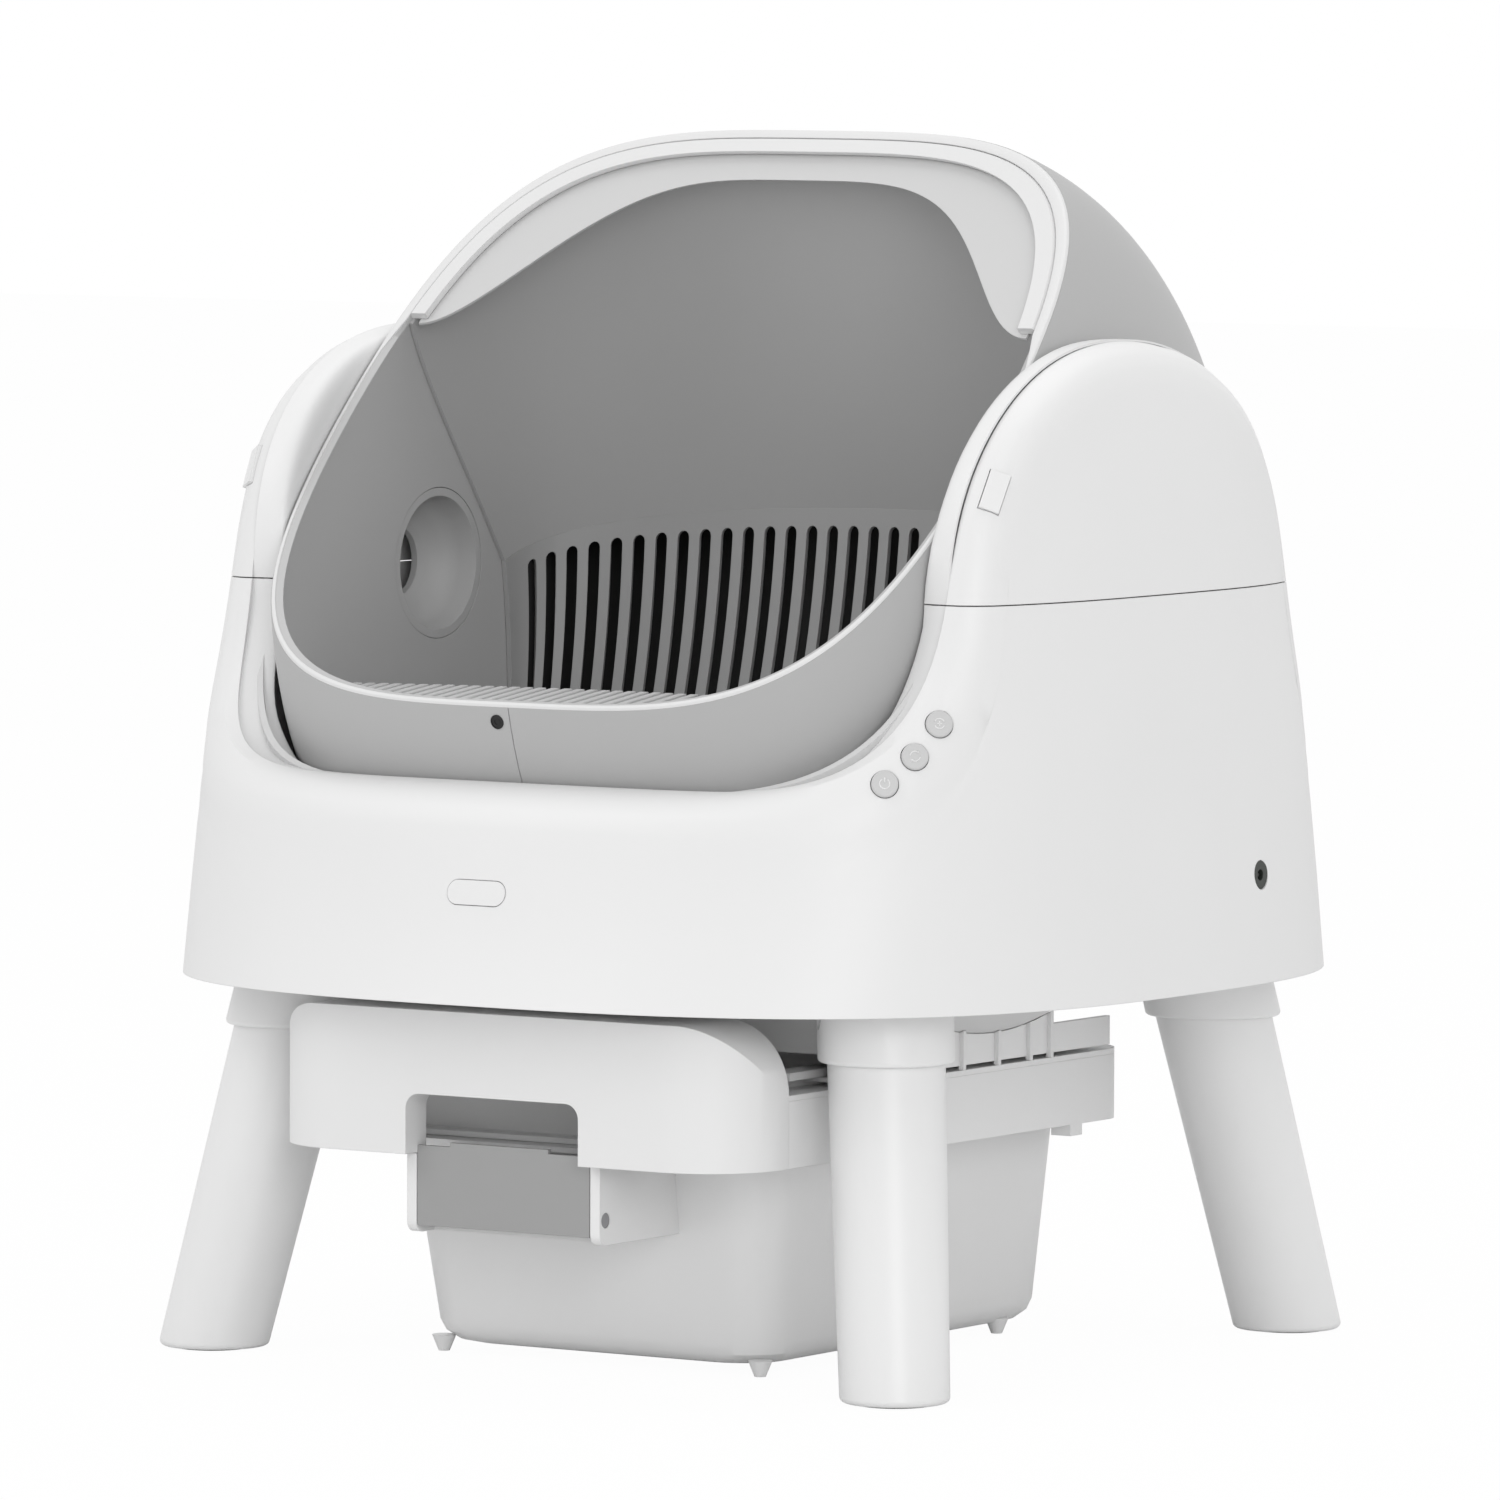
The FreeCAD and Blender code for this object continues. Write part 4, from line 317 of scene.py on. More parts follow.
def paint_inside_shade(material):
    """Paint near-black shade on the inner skin of the barrel, inside its outer form."""
    tree = material.node_tree
    skin = next(n for n in tree.nodes if n.type == "BSDF_PRINCIPLED")
    pale = skin.inputs["Base Color"].links[0].from_socket
    side = tree.nodes.new("ShaderNodeMapRange")
    side.inputs["From Min"].default_value = DARK_FORM
    side.inputs["From Max"].default_value = PALE_FORM
    tree.links.new(barrel_form(tree), side.inputs["Value"])
    mix = tree.nodes.new("ShaderNodeMix")
    mix.data_type = "RGBA"
    mix.inputs["A"].default_value = INSIDE_PAINTED_SHADE + (1,)
    tree.links.new(pale, mix.inputs["B"])
    tree.links.new(side.outputs["Result"], mix.inputs["Factor"])
    tree.links.new(mix.outputs["Result"], skin.inputs["Base Color"])


paint_inside_shade(drum_grey)
print("drum shells have a dark inside")

# %% [markdown]
# The few metal parts are zinc-plated screws and the bin's pin. Brushed metal is a rough
# mirror whose roughness runs in fine streaks, so the noise is stretched along one axis.

# %% Brushed steel
STREAK_SCALE = 60.0
STREAK_GLOSS = 0.1
STREAK_TINT = 0.9


def brushed(name, colour, roughness, stretch):
    """Metal with streaks of uneven gloss along one axis."""
    material = bpy.data.materials.new(name)
    material.use_nodes = True
    nodes, links = material.node_tree.nodes, material.node_tree.links
    skin = nodes["Principled BSDF"]
    skin.inputs["Metallic"].default_value = 1.0
    place = nodes.new("ShaderNodeTexCoord")
    turn = nodes.new("ShaderNodeMapping")
    turn.inputs["Scale"].default_value = stretch
    links.new(place.outputs["Object"], turn.inputs["Vector"])
    streaks = nodes.new("ShaderNodeTexNoise")
    streaks.inputs["Scale"].default_value = STREAK_SCALE
    links.new(turn.outputs["Vector"], streaks.inputs["Vector"])
    gloss = nodes.new("ShaderNodeMapRange")
    gloss.inputs["To Min"].default_value = roughness - STREAK_GLOSS
    gloss.inputs["To Max"].default_value = roughness + STREAK_GLOSS
    links.new(streaks.outputs["Fac"], gloss.inputs["Value"])
    links.new(gloss.outputs["Result"], skin.inputs["Roughness"])
    tint = nodes.new("ShaderNodeMix")
    tint.data_type = "RGBA"
    tint.inputs["A"].default_value = tuple(c * STREAK_TINT for c in colour) + (1,)
    tint.inputs["B"].default_value = colour + (1,)
    links.new(streaks.outputs["Fac"], tint.inputs["Factor"])
    links.new(tint.outputs["Result"], skin.inputs["Base Color"])
    return material


screw_steel = brushed("screw_steel", (0.30, 0.30, 0.31), 0.35, (1, 1, 12))
# Near black: painted shade of the hollow round the seam screw.
screw_painted_shade = brushed("screw_painted_shade", (0.05, 0.05, 0.05), 0.45, (1, 1, 12))
pin_steel = brushed("pin_steel", (0.34, 0.34, 0.35), 0.38, (1, 10, 10))
print("metals", screw_steel.name, pin_steel.name)

# %% [markdown]
# Each node gets the plastic of its real counterpart. The list reads like a parts list:
# the finish first, then the pieces that have it.

# %% Finishes of the nodes
FINISHES = {
    housing_white: ["base_shell", "left_shoulder_cap", "right_shoulder_cap", "left_cap_latch",
                    "right_cap_latch", "sensor_window", "drawer_fascia"],
    leg_white: ["front_left_leg", "front_right_leg", "rear_left_leg", "rear_right_leg",
                "front_left_leg_socket", "front_right_leg_socket", "rear_left_leg_socket",
                "rear_right_leg_socket"],
    bin_white: ["waste_bin", "drawer_frame", "drawer_top_ring", "handle_mount", "waste_chute",
                "left_drawer_rail", "right_drawer_rail"],
    inner_white: ["drum_cradle", "left_cap_liner", "right_cap_liner", "base_floor",
                  "left_bearing_stand", "right_bearing_stand", "presence_sensor"],
    drum_grey: ["drum_left_shell", "drum_right_shell"],
    panel_grey: ["left_side_panel", "right_side_panel", "left_hub"],
    wall_grey: ["back_wall"],
    sieve_grey: ["litter_sieve"],
    step_grey: ["front_step"],
    trim_white: ["rim_bead", "hood_trim"],
    guard_white: ["splash_guard"],
    handle_grey: ["bin_handle"],
    button_grey: ["power_button", "cycle_button", "level_button"],
    gear_nylon: ["right_hub", "ring_gear", "drive_pinion"],
    pad_rubber: ["foot_pads"],
    dark_electrics: ["drive_motor", "control_board", "power_jack"],
    screw_steel: ["leg_screws", "seam_screw"],
    pin_steel: ["handle_pin"],
}
dressed = set()
for material, names in FINISHES.items():
    for name in names:
        if name in NODES:
            NODES[name].data.materials.clear()
            NODES[name].data.materials.append(material)
            dressed.add(name)
print("nodes without a finish", sorted(set(NODES) - dressed))

# %% [markdown]
# The frame's meshes are loose triangles, so their round faces would look like cut
# glass. Two modifiers mend the look and leave the mesh alone: Weld joins the corners,
# and Edge Split opens the shading only where two faces meet at a real edge.

# %% Smooth the round faces
WELD_DISTANCE = 0.00001
CREASE = math.radians(28)

for node in NODES.values():
    for polygon in node.data.polygons:
        polygon.use_smooth = True
    weld = node.modifiers.new("weld", "WELD")
    weld.merge_threshold = WELD_DISTANCE
    split = node.modifiers.new("crease", "EDGE_SPLIT")
    split.split_angle = CREASE
print("smoothed", len(NODES))

# %% [markdown]
# The pieces that follow lie on the drum's barrel, so its outline is written down once:
# the rounded rectangle is a superellipse. The mouth is a flat cut across that barrel, and
# has its own directions: up its slope, and straight out of it.

# %% The drum's outline
MOUTH_DISTANCE = 124.8 * MM
MOUTH_TURN = math.radians(44.5)
MOUTH_UP = Vector((0, math.cos(MOUTH_TURN), math.sin(MOUTH_TURN)))
MOUTH_OUT = Vector((0, -math.sin(MOUTH_TURN), math.cos(MOUTH_TURN)))


def rounded(share):
    """Height of the superellipse over a share of its half length."""
    return (1 - min(abs(share), 1.0) ** SQUARENESS) ** (1 / SQUARENESS)


def drum_radius(x, inset=0.0):
    """Radius of the barrel at a place x along the axis."""
    return (DRUM_RADIUS - inset) * rounded(x / (DRUM_HALF - inset))


def drum_reach(away, inset=0.0):
    """How far along the axis the barrel goes at a distance away from it."""
    return (DRUM_HALF - inset) * rounded(away / (DRUM_RADIUS - inset))


def mouth_point(x, rise, lift):
    """Point of the mouth: x across, rise up the slope, lift out of it."""
    base = Vector((x, 0, AXIS_HEIGHT)) + MOUTH_OUT * (MOUTH_DISTANCE + lift)
    return base + MOUTH_UP * rise


print("drum radius at the middle and near an end", drum_radius(0), round(drum_radius(0.2), 4))

# %% [markdown]
# A moulded skin is a sheet that bends both ways. A grid primitive is laid over it: the
# grid gives clean rows and columns of faces, and each corner is moved to its place by a
# function of two shares, across and along. Solidify gives the sheet its wall afterwards.

# %% Lay a grid on a shape
JOIN_DISTANCE = 0.00002


def laid_grid(name, columns, rows, place, joined=False):
    """Grid whose corners lie at place(across, along); joined closes it into a ring."""
    select_only()
    bpy.ops.mesh.primitive_grid_add(x_subdivisions=columns, y_subdivisions=rows, size=2)
    piece = bpy.context.object
    piece.name = name
    for corner in piece.data.vertices:
        corner.co = place((corner.co.x + 1) / 2, (corner.co.y + 1) / 2)
    if joined:
        bpy.ops.object.mode_set(mode="EDIT")
        bpy.ops.mesh.select_all(action="SELECT")
        bpy.ops.mesh.remove_doubles(threshold=JOIN_DISTANCE)
        bpy.ops.object.mode_set(mode="OBJECT")
    bpy.ops.object.shade_smooth()
    return piece


def apply_modifier(piece, kind, **settings):
    """Add one modifier with its settings and apply it."""
    modifier = piece.modifiers.new(kind.lower(), kind)
    for field, value in settings.items():
        setattr(modifier, field, value)
    select_only(piece)
    bpy.ops.object.modifier_apply(modifier=modifier.name)


def choose_faces(piece, wanted):
    """Go into edit mode with only the wanted faces selected."""
    select_only(piece)
    bpy.ops.object.mode_set(mode="EDIT")
    bpy.ops.mesh.select_mode(type="FACE")
    bpy.ops.mesh.select_all(action="DESELECT")
    bpy.ops.object.mode_set(mode="OBJECT")
    for face in piece.data.polygons:
        face.select = wanted(face)
    bpy.ops.object.mode_set(mode="EDIT")


def leave_edit_mode():
    """Go back to object mode, with corners as the things that are picked."""
    bpy.ops.mesh.select_mode(type="VERT")
    bpy.ops.object.mode_set(mode="OBJECT")


def finish_piece(piece, body, slot, material, *nodes):
    """Give a piece its plastic, its body and the nodes that it stands for; the slot argument is
    not used.
    """
    piece.data.materials.clear()
    piece.data.materials.append(material)
    select_only(piece)
    bpy.ops.object.shade_smooth_by_angle(angle=CREASE)
    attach(piece, body)
    if nodes:
        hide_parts(*nodes)
    print(piece.name, "faces", len(piece.data.polygons))


print("helpers ready")

# %% [markdown]
# The mouth has a white edge that is thin below, where paws go over it, and a wide band
# on the hood. Its section is a low round-shouldered strip. One ring does both, because
# only the width of the strip changes on the way round.

# %% Mouth rim
RIM_THIN = 1.9 * MM
RIM_WIDE = 5.4 * MM
RIM_OUTER = 0.3 * MM
# Height of the edge in millimetres: on the low side, and what the hood adds to it.
RIM_LOW, RIM_MORE = 1.3, 0.9
RIM_FOOT = 0.4 * MM
RIM_SHOULDER = 0.45
RIM_COLUMNS, RIM_ROWS = 160, 8
# Power that spreads the points of the loop evenly into its corners.
LOOP_POWER = 1.3
HOOD_START = 40 * MM
HOOD_FULL = 66 * MM


def eased(value, low, high):
    """Share of the way from low to high, with soft ends."""
    share = min(max((value - low) / (high - low), 0.0), 1.0)
    return share * share * (3 - 2 * share)


def round_mouth(turn, inset, lift):
    """Point on the loop round the mouth, inset from the barrel's skin."""
    level = MOUTH_DISTANCE + lift
    end = drum_reach(level, inset)
    angle = 2 * math.pi * turn
    side = math.cos(angle)
    x = end * math.copysign(abs(side) ** (1 / LOOP_POWER), side)
    rise = math.sqrt(max(drum_radius(x, inset) ** 2 - level ** 2, 0.0))
    return mouth_point(x, math.copysign(rise, math.sin(angle)), lift)


def hood_share(turn):
    """0 on the low edge of the mouth, 1 on the hood's band."""
    loop = round_mouth(turn, RIM_OUTER, 0.0)
    rise = (loop - Vector((0, 0, AXIS_HEIGHT))).dot(MOUTH_UP)
    return eased(rise, HOOD_START, HOOD_FULL)


def rim_width(hood):
    """Width of the white edge for a share of the hood."""
    return RIM_THIN + (RIM_WIDE - RIM_THIN) * hood


def rim_section(turn, along):
    """Point of the rim's section: from the outside foot over the crown to the inside foot."""
    hood = hood_share(turn)
    step = round(along * RIM_ROWS)
    angle = math.pi * step / RIM_ROWS
    side = math.cos(angle)
    across = (1 - math.copysign(abs(side) ** RIM_SHOULDER, side)) / 2
    lift = -RIM_FOOT
    if 0 < step < RIM_ROWS:
        lift = (RIM_LOW + RIM_MORE * hood) * MM * math.sin(angle) ** RIM_SHOULDER
    return round_mouth(turn, RIM_OUTER + rim_width(hood) * across, lift)


rim = laid_grid("mouth_rim", RIM_COLUMNS, RIM_ROWS, rim_section, joined=True)
finish_piece(rim, "drum", "trim_white", trim_white, "rim_bead")

# %% [markdown]
# Inside the white edge a grey lip slopes down into the cabin. It closes the step between
# the drum's outer skin and the side panels, so that no raw wall shows.

# %% Inner lip of the mouth
# Steps of its section in millimetres: (inward from the white edge, lift out of the mouth).
INNER_LIP = ((-0.3, 0.7), (0.3, 0.6), (1.2, 0.1), (3.6, -1.0), (3.7, -2.6))
LIP_ROWS = len(INNER_LIP) - 1
HOOD_NARROWING = 0.9


def lip_section(turn, along):
    """Point of the grey lip, from under the white edge down to the side panel."""
    hood = hood_share(turn)
    across, lift = INNER_LIP[round(along * LIP_ROWS)]
    reach = RIM_OUTER + rim_width(hood) + across * MM * (1 - HOOD_NARROWING * hood)
    return round_mouth(turn, reach, lift * MM)


inner_lip = laid_grid("mouth_lip", RIM_COLUMNS, LIP_ROWS, lip_section, joined=True)
finish_piece(inner_lip, "drum", "liner_grey", panel_grey)

# %% [markdown]
# The cabin's back is one bowed sheet that hangs from the hood and reaches both side
# panels. Every row of its grid is stretched until its ends lie on the panels, so only a
# fine seam is left between them.

# %% Back wall of the cabin
PANEL_INSET = 5.6 * MM
SIEVE_SIDE = (60 * MM, 409 * MM)
SIEVE_CROWN = (140 * MM, 440 * MM)
SIEVE_TOP_POWER = 0.4
HOOD_DROP = 1.9 * MM
HOOD_CORNER = 63 * MM
SAG_BACK, SAG_DOWN = 0.75, 0.66
WALL_SAG = 10 * MM
WALL_THICKNESS = 2.4 * MM
WALL_COLUMNS, WALL_ROWS = 72, 40


def hood_row(share):
    """Row under the hood, from one corner over the top to the other."""
    level = MOUTH_DISTANCE - HOOD_DROP
    end = drum_reach(math.hypot(HOOD_CORNER, level), PANEL_INSET)
    x = end * share
    rise = math.sqrt(drum_radius(x, PANEL_INSET) ** 2 - level ** 2)
    return mouth_point(x, rise, -HOOD_DROP)


def sieve_top(share):
    """Row where the back wall ends and the sieve begins."""
    bulge = (1 - min(abs(share), 1.0) ** 2) ** SIEVE_TOP_POWER
    y = SIEVE_SIDE[0] + (SIEVE_CROWN[0] - SIEVE_SIDE[0]) * bulge
    z = SIEVE_SIDE[1] + (SIEVE_CROWN[1] - SIEVE_SIDE[1]) * bulge
    return Vector(((DRUM_HALF - PANEL_INSET) * share, y, z))


def bowed(first, last, share, along, sag):
    """Point between two rows, pushed back by sag, in a row that reaches the panels."""
    bow = 4 * along * (1 - along) * sag

    def between(across):
        spot = first(across).lerp(last(across), along)
        return spot + Vector((0, SAG_BACK * bow, -SAG_DOWN * bow))

    spot, end = between(share), between(1.0)
    reach = drum_reach(math.hypot(end.y, end.z - AXIS_HEIGHT), PANEL_INSET)
    spot.x *= reach / end.x
    return spot


def wall_point(across, along):
    """Point of the back wall, with its columns gathered near the panels."""
    share = -math.cos(math.pi * across)
    return bowed(hood_row, sieve_top, share, along, WALL_SAG)


wall = laid_grid("cabin_wall", WALL_COLUMNS, WALL_ROWS, wall_point)
apply_modifier(wall, "SOLIDIFY", thickness=WALL_THICKNESS, offset=-1)
finish_piece(wall, "drum", "liner_grey", wall_grey, "back_wall")

# %% [markdown]
# The sieve is the same kind of sheet with long slots in it. The slots follow the sheet
# from top to bottom, and their pitch is even along the top row, so they stay even round
# the corner at each side. In the grid a slot is a band of narrow columns whose faces are
# deleted; the round end comes from where each of these columns starts.

# %% Sieve
SIEVE_FOOT_Y = -30 * MM
SLOT_WIDTH = 6.8 * MM
SLOT_PITCH = 13.2 * MM
SLOT_EDGE = 23 * MM
SLOT_TOP, SLOT_LOW = 0.036, 0.93
SLOT_ROUND = 0.0105
SLOT_COLUMNS = 6
EDGE_COLUMNS = 6
FINE_STEPS = 2000
FOOT_INSET = 8.6 * MM
FOOT_SHORTER = 40 * MM
SIEVE_SAG = 46 * MM
SIEVE_THICKNESS = 3 * MM
BAR_BEVEL = 0.5 * MM
BEVEL_ANGLE = math.radians(60)
# Rows of the grid above the slots, along them and below them.
SIEVE_ROWS = (3, 30, 3)


def sieve_foot(share):
    """Row along the sieve's lower edge, just above the barrel's floor."""
    x = (DRUM_HALF - FOOT_INSET - FOOT_SHORTER) * share
    drop = math.sqrt(drum_radius(x, FOOT_INSET) ** 2 - SIEVE_FOOT_Y ** 2)
    return Vector((x, SIEVE_FOOT_Y, AXIS_HEIGHT - drop))


def sieve_point(share, along):
    """Point of the sieve; its foot is a row of its own, which no panel stretches."""
    if along > 0.999:
        return sieve_foot(share)
    return bowed(sieve_top, sieve_foot, share, along, SIEVE_SAG)


def slot_stations():
    """Column stations across the sieve: (share, place in a slot or None, column is open)."""
    fine = [-math.cos(math.pi * i / FINE_STEPS) for i in range(FINE_STEPS + 1)]
    marks = [0.0]
    for first, second in zip(fine, fine[1:]):
        marks.append(marks[-1] + (sieve_top(second) - sieve_top(first)).length)

    def share_at(mark):
        """Share across the sieve at a length along its top row."""
        index = next(i for i, m in enumerate(marks) if m >= mark - 1e-9)
        if index == 0:
            return fine[0]
        part = (mark - marks[index - 1]) / (marks[index] - marks[index - 1])
        return fine[index - 1] + (fine[index] - fine[index - 1]) * part

    count = round((marks[-1] - 2 * SLOT_EDGE) / SLOT_PITCH)
    pitch = (marks[-1] - 2 * SLOT_EDGE) / count
    first_slot = SLOT_EDGE - SLOT_WIDTH / 2
    last_slot = marks[-1] - SLOT_EDGE + SLOT_WIDTH / 2
    stations = [(share_at(first_slot * i / EDGE_COLUMNS), None, False)
                for i in range(EDGE_COLUMNS)]
    for slot in range(count + 1):
        middle = SLOT_EDGE + slot * pitch
        for column in range(SLOT_COLUMNS + 1):
            place = -math.cos(math.pi * column / SLOT_COLUMNS)
            mark = middle + place * SLOT_WIDTH / 2
            stations.append((share_at(mark), place, column < SLOT_COLUMNS))
    for i in range(1, EDGE_COLUMNS + 1):
        mark = last_slot + (marks[-1] - last_slot) * i / EDGE_COLUMNS
        stations.append((share_at(mark), None, False))
    return stations


STATIONS = slot_stations()
SIEVE_COLUMNS = len(STATIONS) - 1


def sieve_corner(across, along):
    """Corner of the sieve's grid, with rows gathered above, along and below the slots."""
    share, place, _ = STATIONS[round(across * SIEVE_COLUMNS)]
    bend = SLOT_ROUND * (math.sqrt(max(1 - place ** 2, 0.0)) if place is not None else 0.0)
    top, low = SLOT_TOP - bend, SLOT_LOW + bend
    row = round(along * sum(SIEVE_ROWS))
    if row <= SIEVE_ROWS[0]:
        return sieve_point(share, top * row / SIEVE_ROWS[0])
    row -= SIEVE_ROWS[0]
    if row <= SIEVE_ROWS[1]:
        return sieve_point(share, top + (low - top) * row / SIEVE_ROWS[1])
    row -= SIEVE_ROWS[1]
    return sieve_point(share, low + (1 - low) * row / SIEVE_ROWS[2])


def in_slot(face):
    """Whether a face of the grid lies in a slot; faces are numbered row by row."""
    row, column = divmod(face.index, SIEVE_COLUMNS)
    return STATIONS[column][2] and SIEVE_ROWS[0] <= row < SIEVE_ROWS[0] + SIEVE_ROWS[1]


sieve = laid_grid("sieve_plate", SIEVE_COLUMNS, sum(SIEVE_ROWS), sieve_corner)
choose_faces(sieve, in_slot)
bpy.ops.mesh.delete(type="FACE")
leave_edit_mode()
apply_modifier(sieve, "SOLIDIFY", thickness=SIEVE_THICKNESS, offset=-1)
apply_modifier(sieve, "BEVEL", width=BAR_BEVEL, segments=1,
               limit_method="ANGLE", angle_limit=BEVEL_ANGLE)
finish_piece(sieve, "drum", "sieve_grey", sieve_grey, "litter_sieve")

# %% [markdown]
# Behind the sieve a near-black sheet lies on each side panel: painted shade for the deep
# waste side, so that only black shows between the bars. Each sheet starts at the back of
# the wall and the sieve and lies on the panel: its points keep their depth and height,
# and take their width from the barrel.

# %% Painted shade behind the sieve
SHADE_SHEET_INSET = 6.1 * MM
SHADE_SHEET_START = 4 * MM
SHADE_SHEET_RADIUS = 229 * MM
SHADE_SHEET_TURN, SHADE_SHEET_SWEEP = 70, -150
SHADE_SHEET_THICKNESS = 0.4 * MM
SHADE_SHEET_COLUMNS, SHADE_SHEET_ROWS = 24, 40
WALL_SHARE = 0.4
# Where the painted shade starts along the wall's and the sieve's sheets, and how much of each it
# follows.
ALONG_WALL = (0.06, 0.94)
ALONG_SIEVE = (0.01, 0.84)
BEHIND_WALL = Vector((0, 1, 0))
BEHIND_SIEVE = Vector((0, 0.93, -0.36))


def shade_sheet_maker(side):
    """Place function of one sheet of painted shade: from the edge of the wall and sieve out to a
    circle.
    """
    def place(across, along):
        if along < WALL_SHARE:
            down = ALONG_WALL[0] + ALONG_WALL[1] * along / WALL_SHARE
            edge = wall_point(1.0, down) + BEHIND_WALL * SHADE_SHEET_START
        else:
            down = (along - WALL_SHARE) / (1 - WALL_SHARE)
            edge = sieve_point(1.0, ALONG_SIEVE[0] + ALONG_SIEVE[1] * down)
            edge += BEHIND_SIEVE * SHADE_SHEET_START
        turn = math.radians(SHADE_SHEET_TURN + SHADE_SHEET_SWEEP * along)
        far = Vector((0, math.cos(turn), math.sin(turn))) * SHADE_SHEET_RADIUS
        far.z += AXIS_HEIGHT
        spot = edge.lerp(far, across)
        spot.x = side * drum_reach(math.hypot(spot.y, spot.z - AXIS_HEIGHT), SHADE_SHEET_INSET)
        return spot
    return place


# Near-black sheets of painted shade on the panels behind the sieve.
for side, name in ((-1, "left_painted_shade_sheet"), (1, "right_painted_shade_sheet")):
    shade_sheet = laid_grid(name, SHADE_SHEET_COLUMNS, SHADE_SHEET_ROWS, shade_sheet_maker(side))
    apply_modifier(shade_sheet, "SOLIDIFY", thickness=SHADE_SHEET_THICKNESS, offset=0)
    finish_piece(shade_sheet, "drum", "sieve_grey", painted_shade_black)

# %% [markdown]
# The front step is a shelf level with the mouth's edge. Slanting ribs on it wipe the
# paws. The shelf's front edge follows the barrel, its back edge is a shallow arc, and
# from that edge a riser goes down to the drum's floor.

# %% Front step
STEP_TOP = 352.0 * MM
STEP_WALL = 3 * MM
STEP_DEPTH = 150 * MM
STEP_BULGE = 42 * MM
STEP_INSET = 5.9 * MM
STEP_GAP = 1.6 * MM
STEP_NARROWEST = 2 * MM
STEP_COLUMNS, SHELF_ROWS, RISER_ROWS = 64, 10, 10
RISER_GAP = 1 * MM
RISER_SHORTEST = 0.5 * MM


def step_front(x):
    """Front edge of the shelf, against the barrel."""
    square = drum_radius(x, STEP_INSET) ** 2 - (AXIS_HEIGHT - STEP_TOP) ** 2
    return -math.sqrt(max(square, 0.0)) + STEP_GAP


def step_back(x):
    """Back edge of the shelf: an arc that comes forward in the middle."""
    half = DRUM_HALF - STEP_INSET
    bow = (half ** 2 + STEP_BULGE ** 2) / (2 * STEP_BULGE)
    return -STEP_DEPTH + STEP_BULGE - bow + math.sqrt(bow ** 2 - x ** 2)


def step_half():
    """Half width at which the front and back edges of the shelf meet."""
    low, high = 0.1, DRUM_HALF - STEP_INSET
    for _ in range(40):
        middle = (low + high) / 2
        if step_front(middle) < step_back(middle) - STEP_NARROWEST:
            low = middle
        else:
            high = middle
    return low


STEP_HALF = step_half()


def step_corner(across, along):
    """Corner of the step's sheet: the shelf from front to back, then the riser down."""
    x = STEP_HALF * -math.cos(math.pi * across)
    row = round(along * (SHELF_ROWS + RISER_ROWS))
    front, back = step_front(x), step_back(x)
    if row <= SHELF_ROWS:
        return Vector((x, front + (back - front) * row / SHELF_ROWS, STEP_TOP))
    square = drum_radius(x, STEP_INSET) ** 2 - back ** 2
    bottom = AXIS_HEIGHT - math.sqrt(max(square, 0.0)) + RISER_GAP
    bottom = min(bottom, STEP_TOP - STEP_WALL - RISER_SHORTEST)
    return Vector((x, back, STEP_TOP + (bottom - STEP_TOP) * (row - SHELF_ROWS) / RISER_ROWS))


shelf = laid_grid("step_shelf", STEP_COLUMNS, SHELF_ROWS + RISER_ROWS, step_corner)
apply_modifier(shelf, "SOLIDIFY", thickness=STEP_WALL, offset=-1)
print("step half width", round(STEP_HALF, 4))

# %% [markdown]
# The ribs are bars with bevelled edges on slanting lines. A walk along each line finds
# where it is over the shelf, and the bar is made as long as that part. Short ones at the
# ends of the row are left out, and the rest is joined to the shelf.

# %% Ribs on the step
RIB_WIDTH = 4.6 * MM
RIB_RISE = 1.7 * MM
RIB_PITCH = 8.0 * MM
RIB_LEAN = math.radians(22)
RIB_MARGIN = 7 * MM
RIB_SHORTEST = 12 * MM
RIB_SINK = 0.1 * MM
RIB_BEVEL = 0.4 * MM
RIB_WALK = 160
RIB_PLACES = range(-24, 32)


def over_shelf(x, y):
    """Whether a place is over the shelf, away from its edges."""
    if abs(x) > STEP_HALF - RIB_MARGIN:
        return False
    return step_front(x) + RIB_MARGIN < y < step_back(x) - RIB_MARGIN


def rib_span(x):
    """Ends of the part of a slanting line that lies over the shelf."""
    inside = []
    for i in range(RIB_WALK):
        gone = i * MM
        place = (x - math.sin(RIB_LEAN) * gone, -DRUM_RADIUS + math.cos(RIB_LEAN) * gone)
        if over_shelf(*place):
            inside.append(Vector((*place, 0)))
    return (inside[0], inside[-1]) if inside else None


def rib(first, last):
    """Bar with bevelled edges from one place to another."""
    select_only()
    middle = (first + last) / 2
    middle.z = STEP_TOP + RIB_RISE / 2 - RIB_SINK
    bpy.ops.mesh.primitive_cube_add(size=1, location=middle)
    bar = bpy.context.object
    bar.name = "rib"
    bar.scale = (RIB_WIDTH, (last - first).length, RIB_RISE)
    bar.rotation_euler = (0, 0, RIB_LEAN)
    bpy.ops.object.transform_apply(location=True, rotation=True, scale=True)
    bpy.ops.object.mode_set(mode="EDIT")
    bpy.ops.mesh.select_all(action="SELECT")
    bpy.ops.mesh.bevel(offset=RIB_BEVEL, segments=1, affect="EDGES")
    bpy.ops.object.mode_set(mode="OBJECT")
    return bar


ribs = []
for rib_place in RIB_PLACES:
    span = rib_span(rib_place * RIB_PITCH)
    if span and (span[1] - span[0]).length > RIB_SHORTEST:
        ribs.append(rib(*span))
select_only(shelf, *ribs)
bpy.ops.object.join()
finish_piece(shelf, "drum", "step_grey", step_grey, "front_step")
print("ribs", len(ribs))

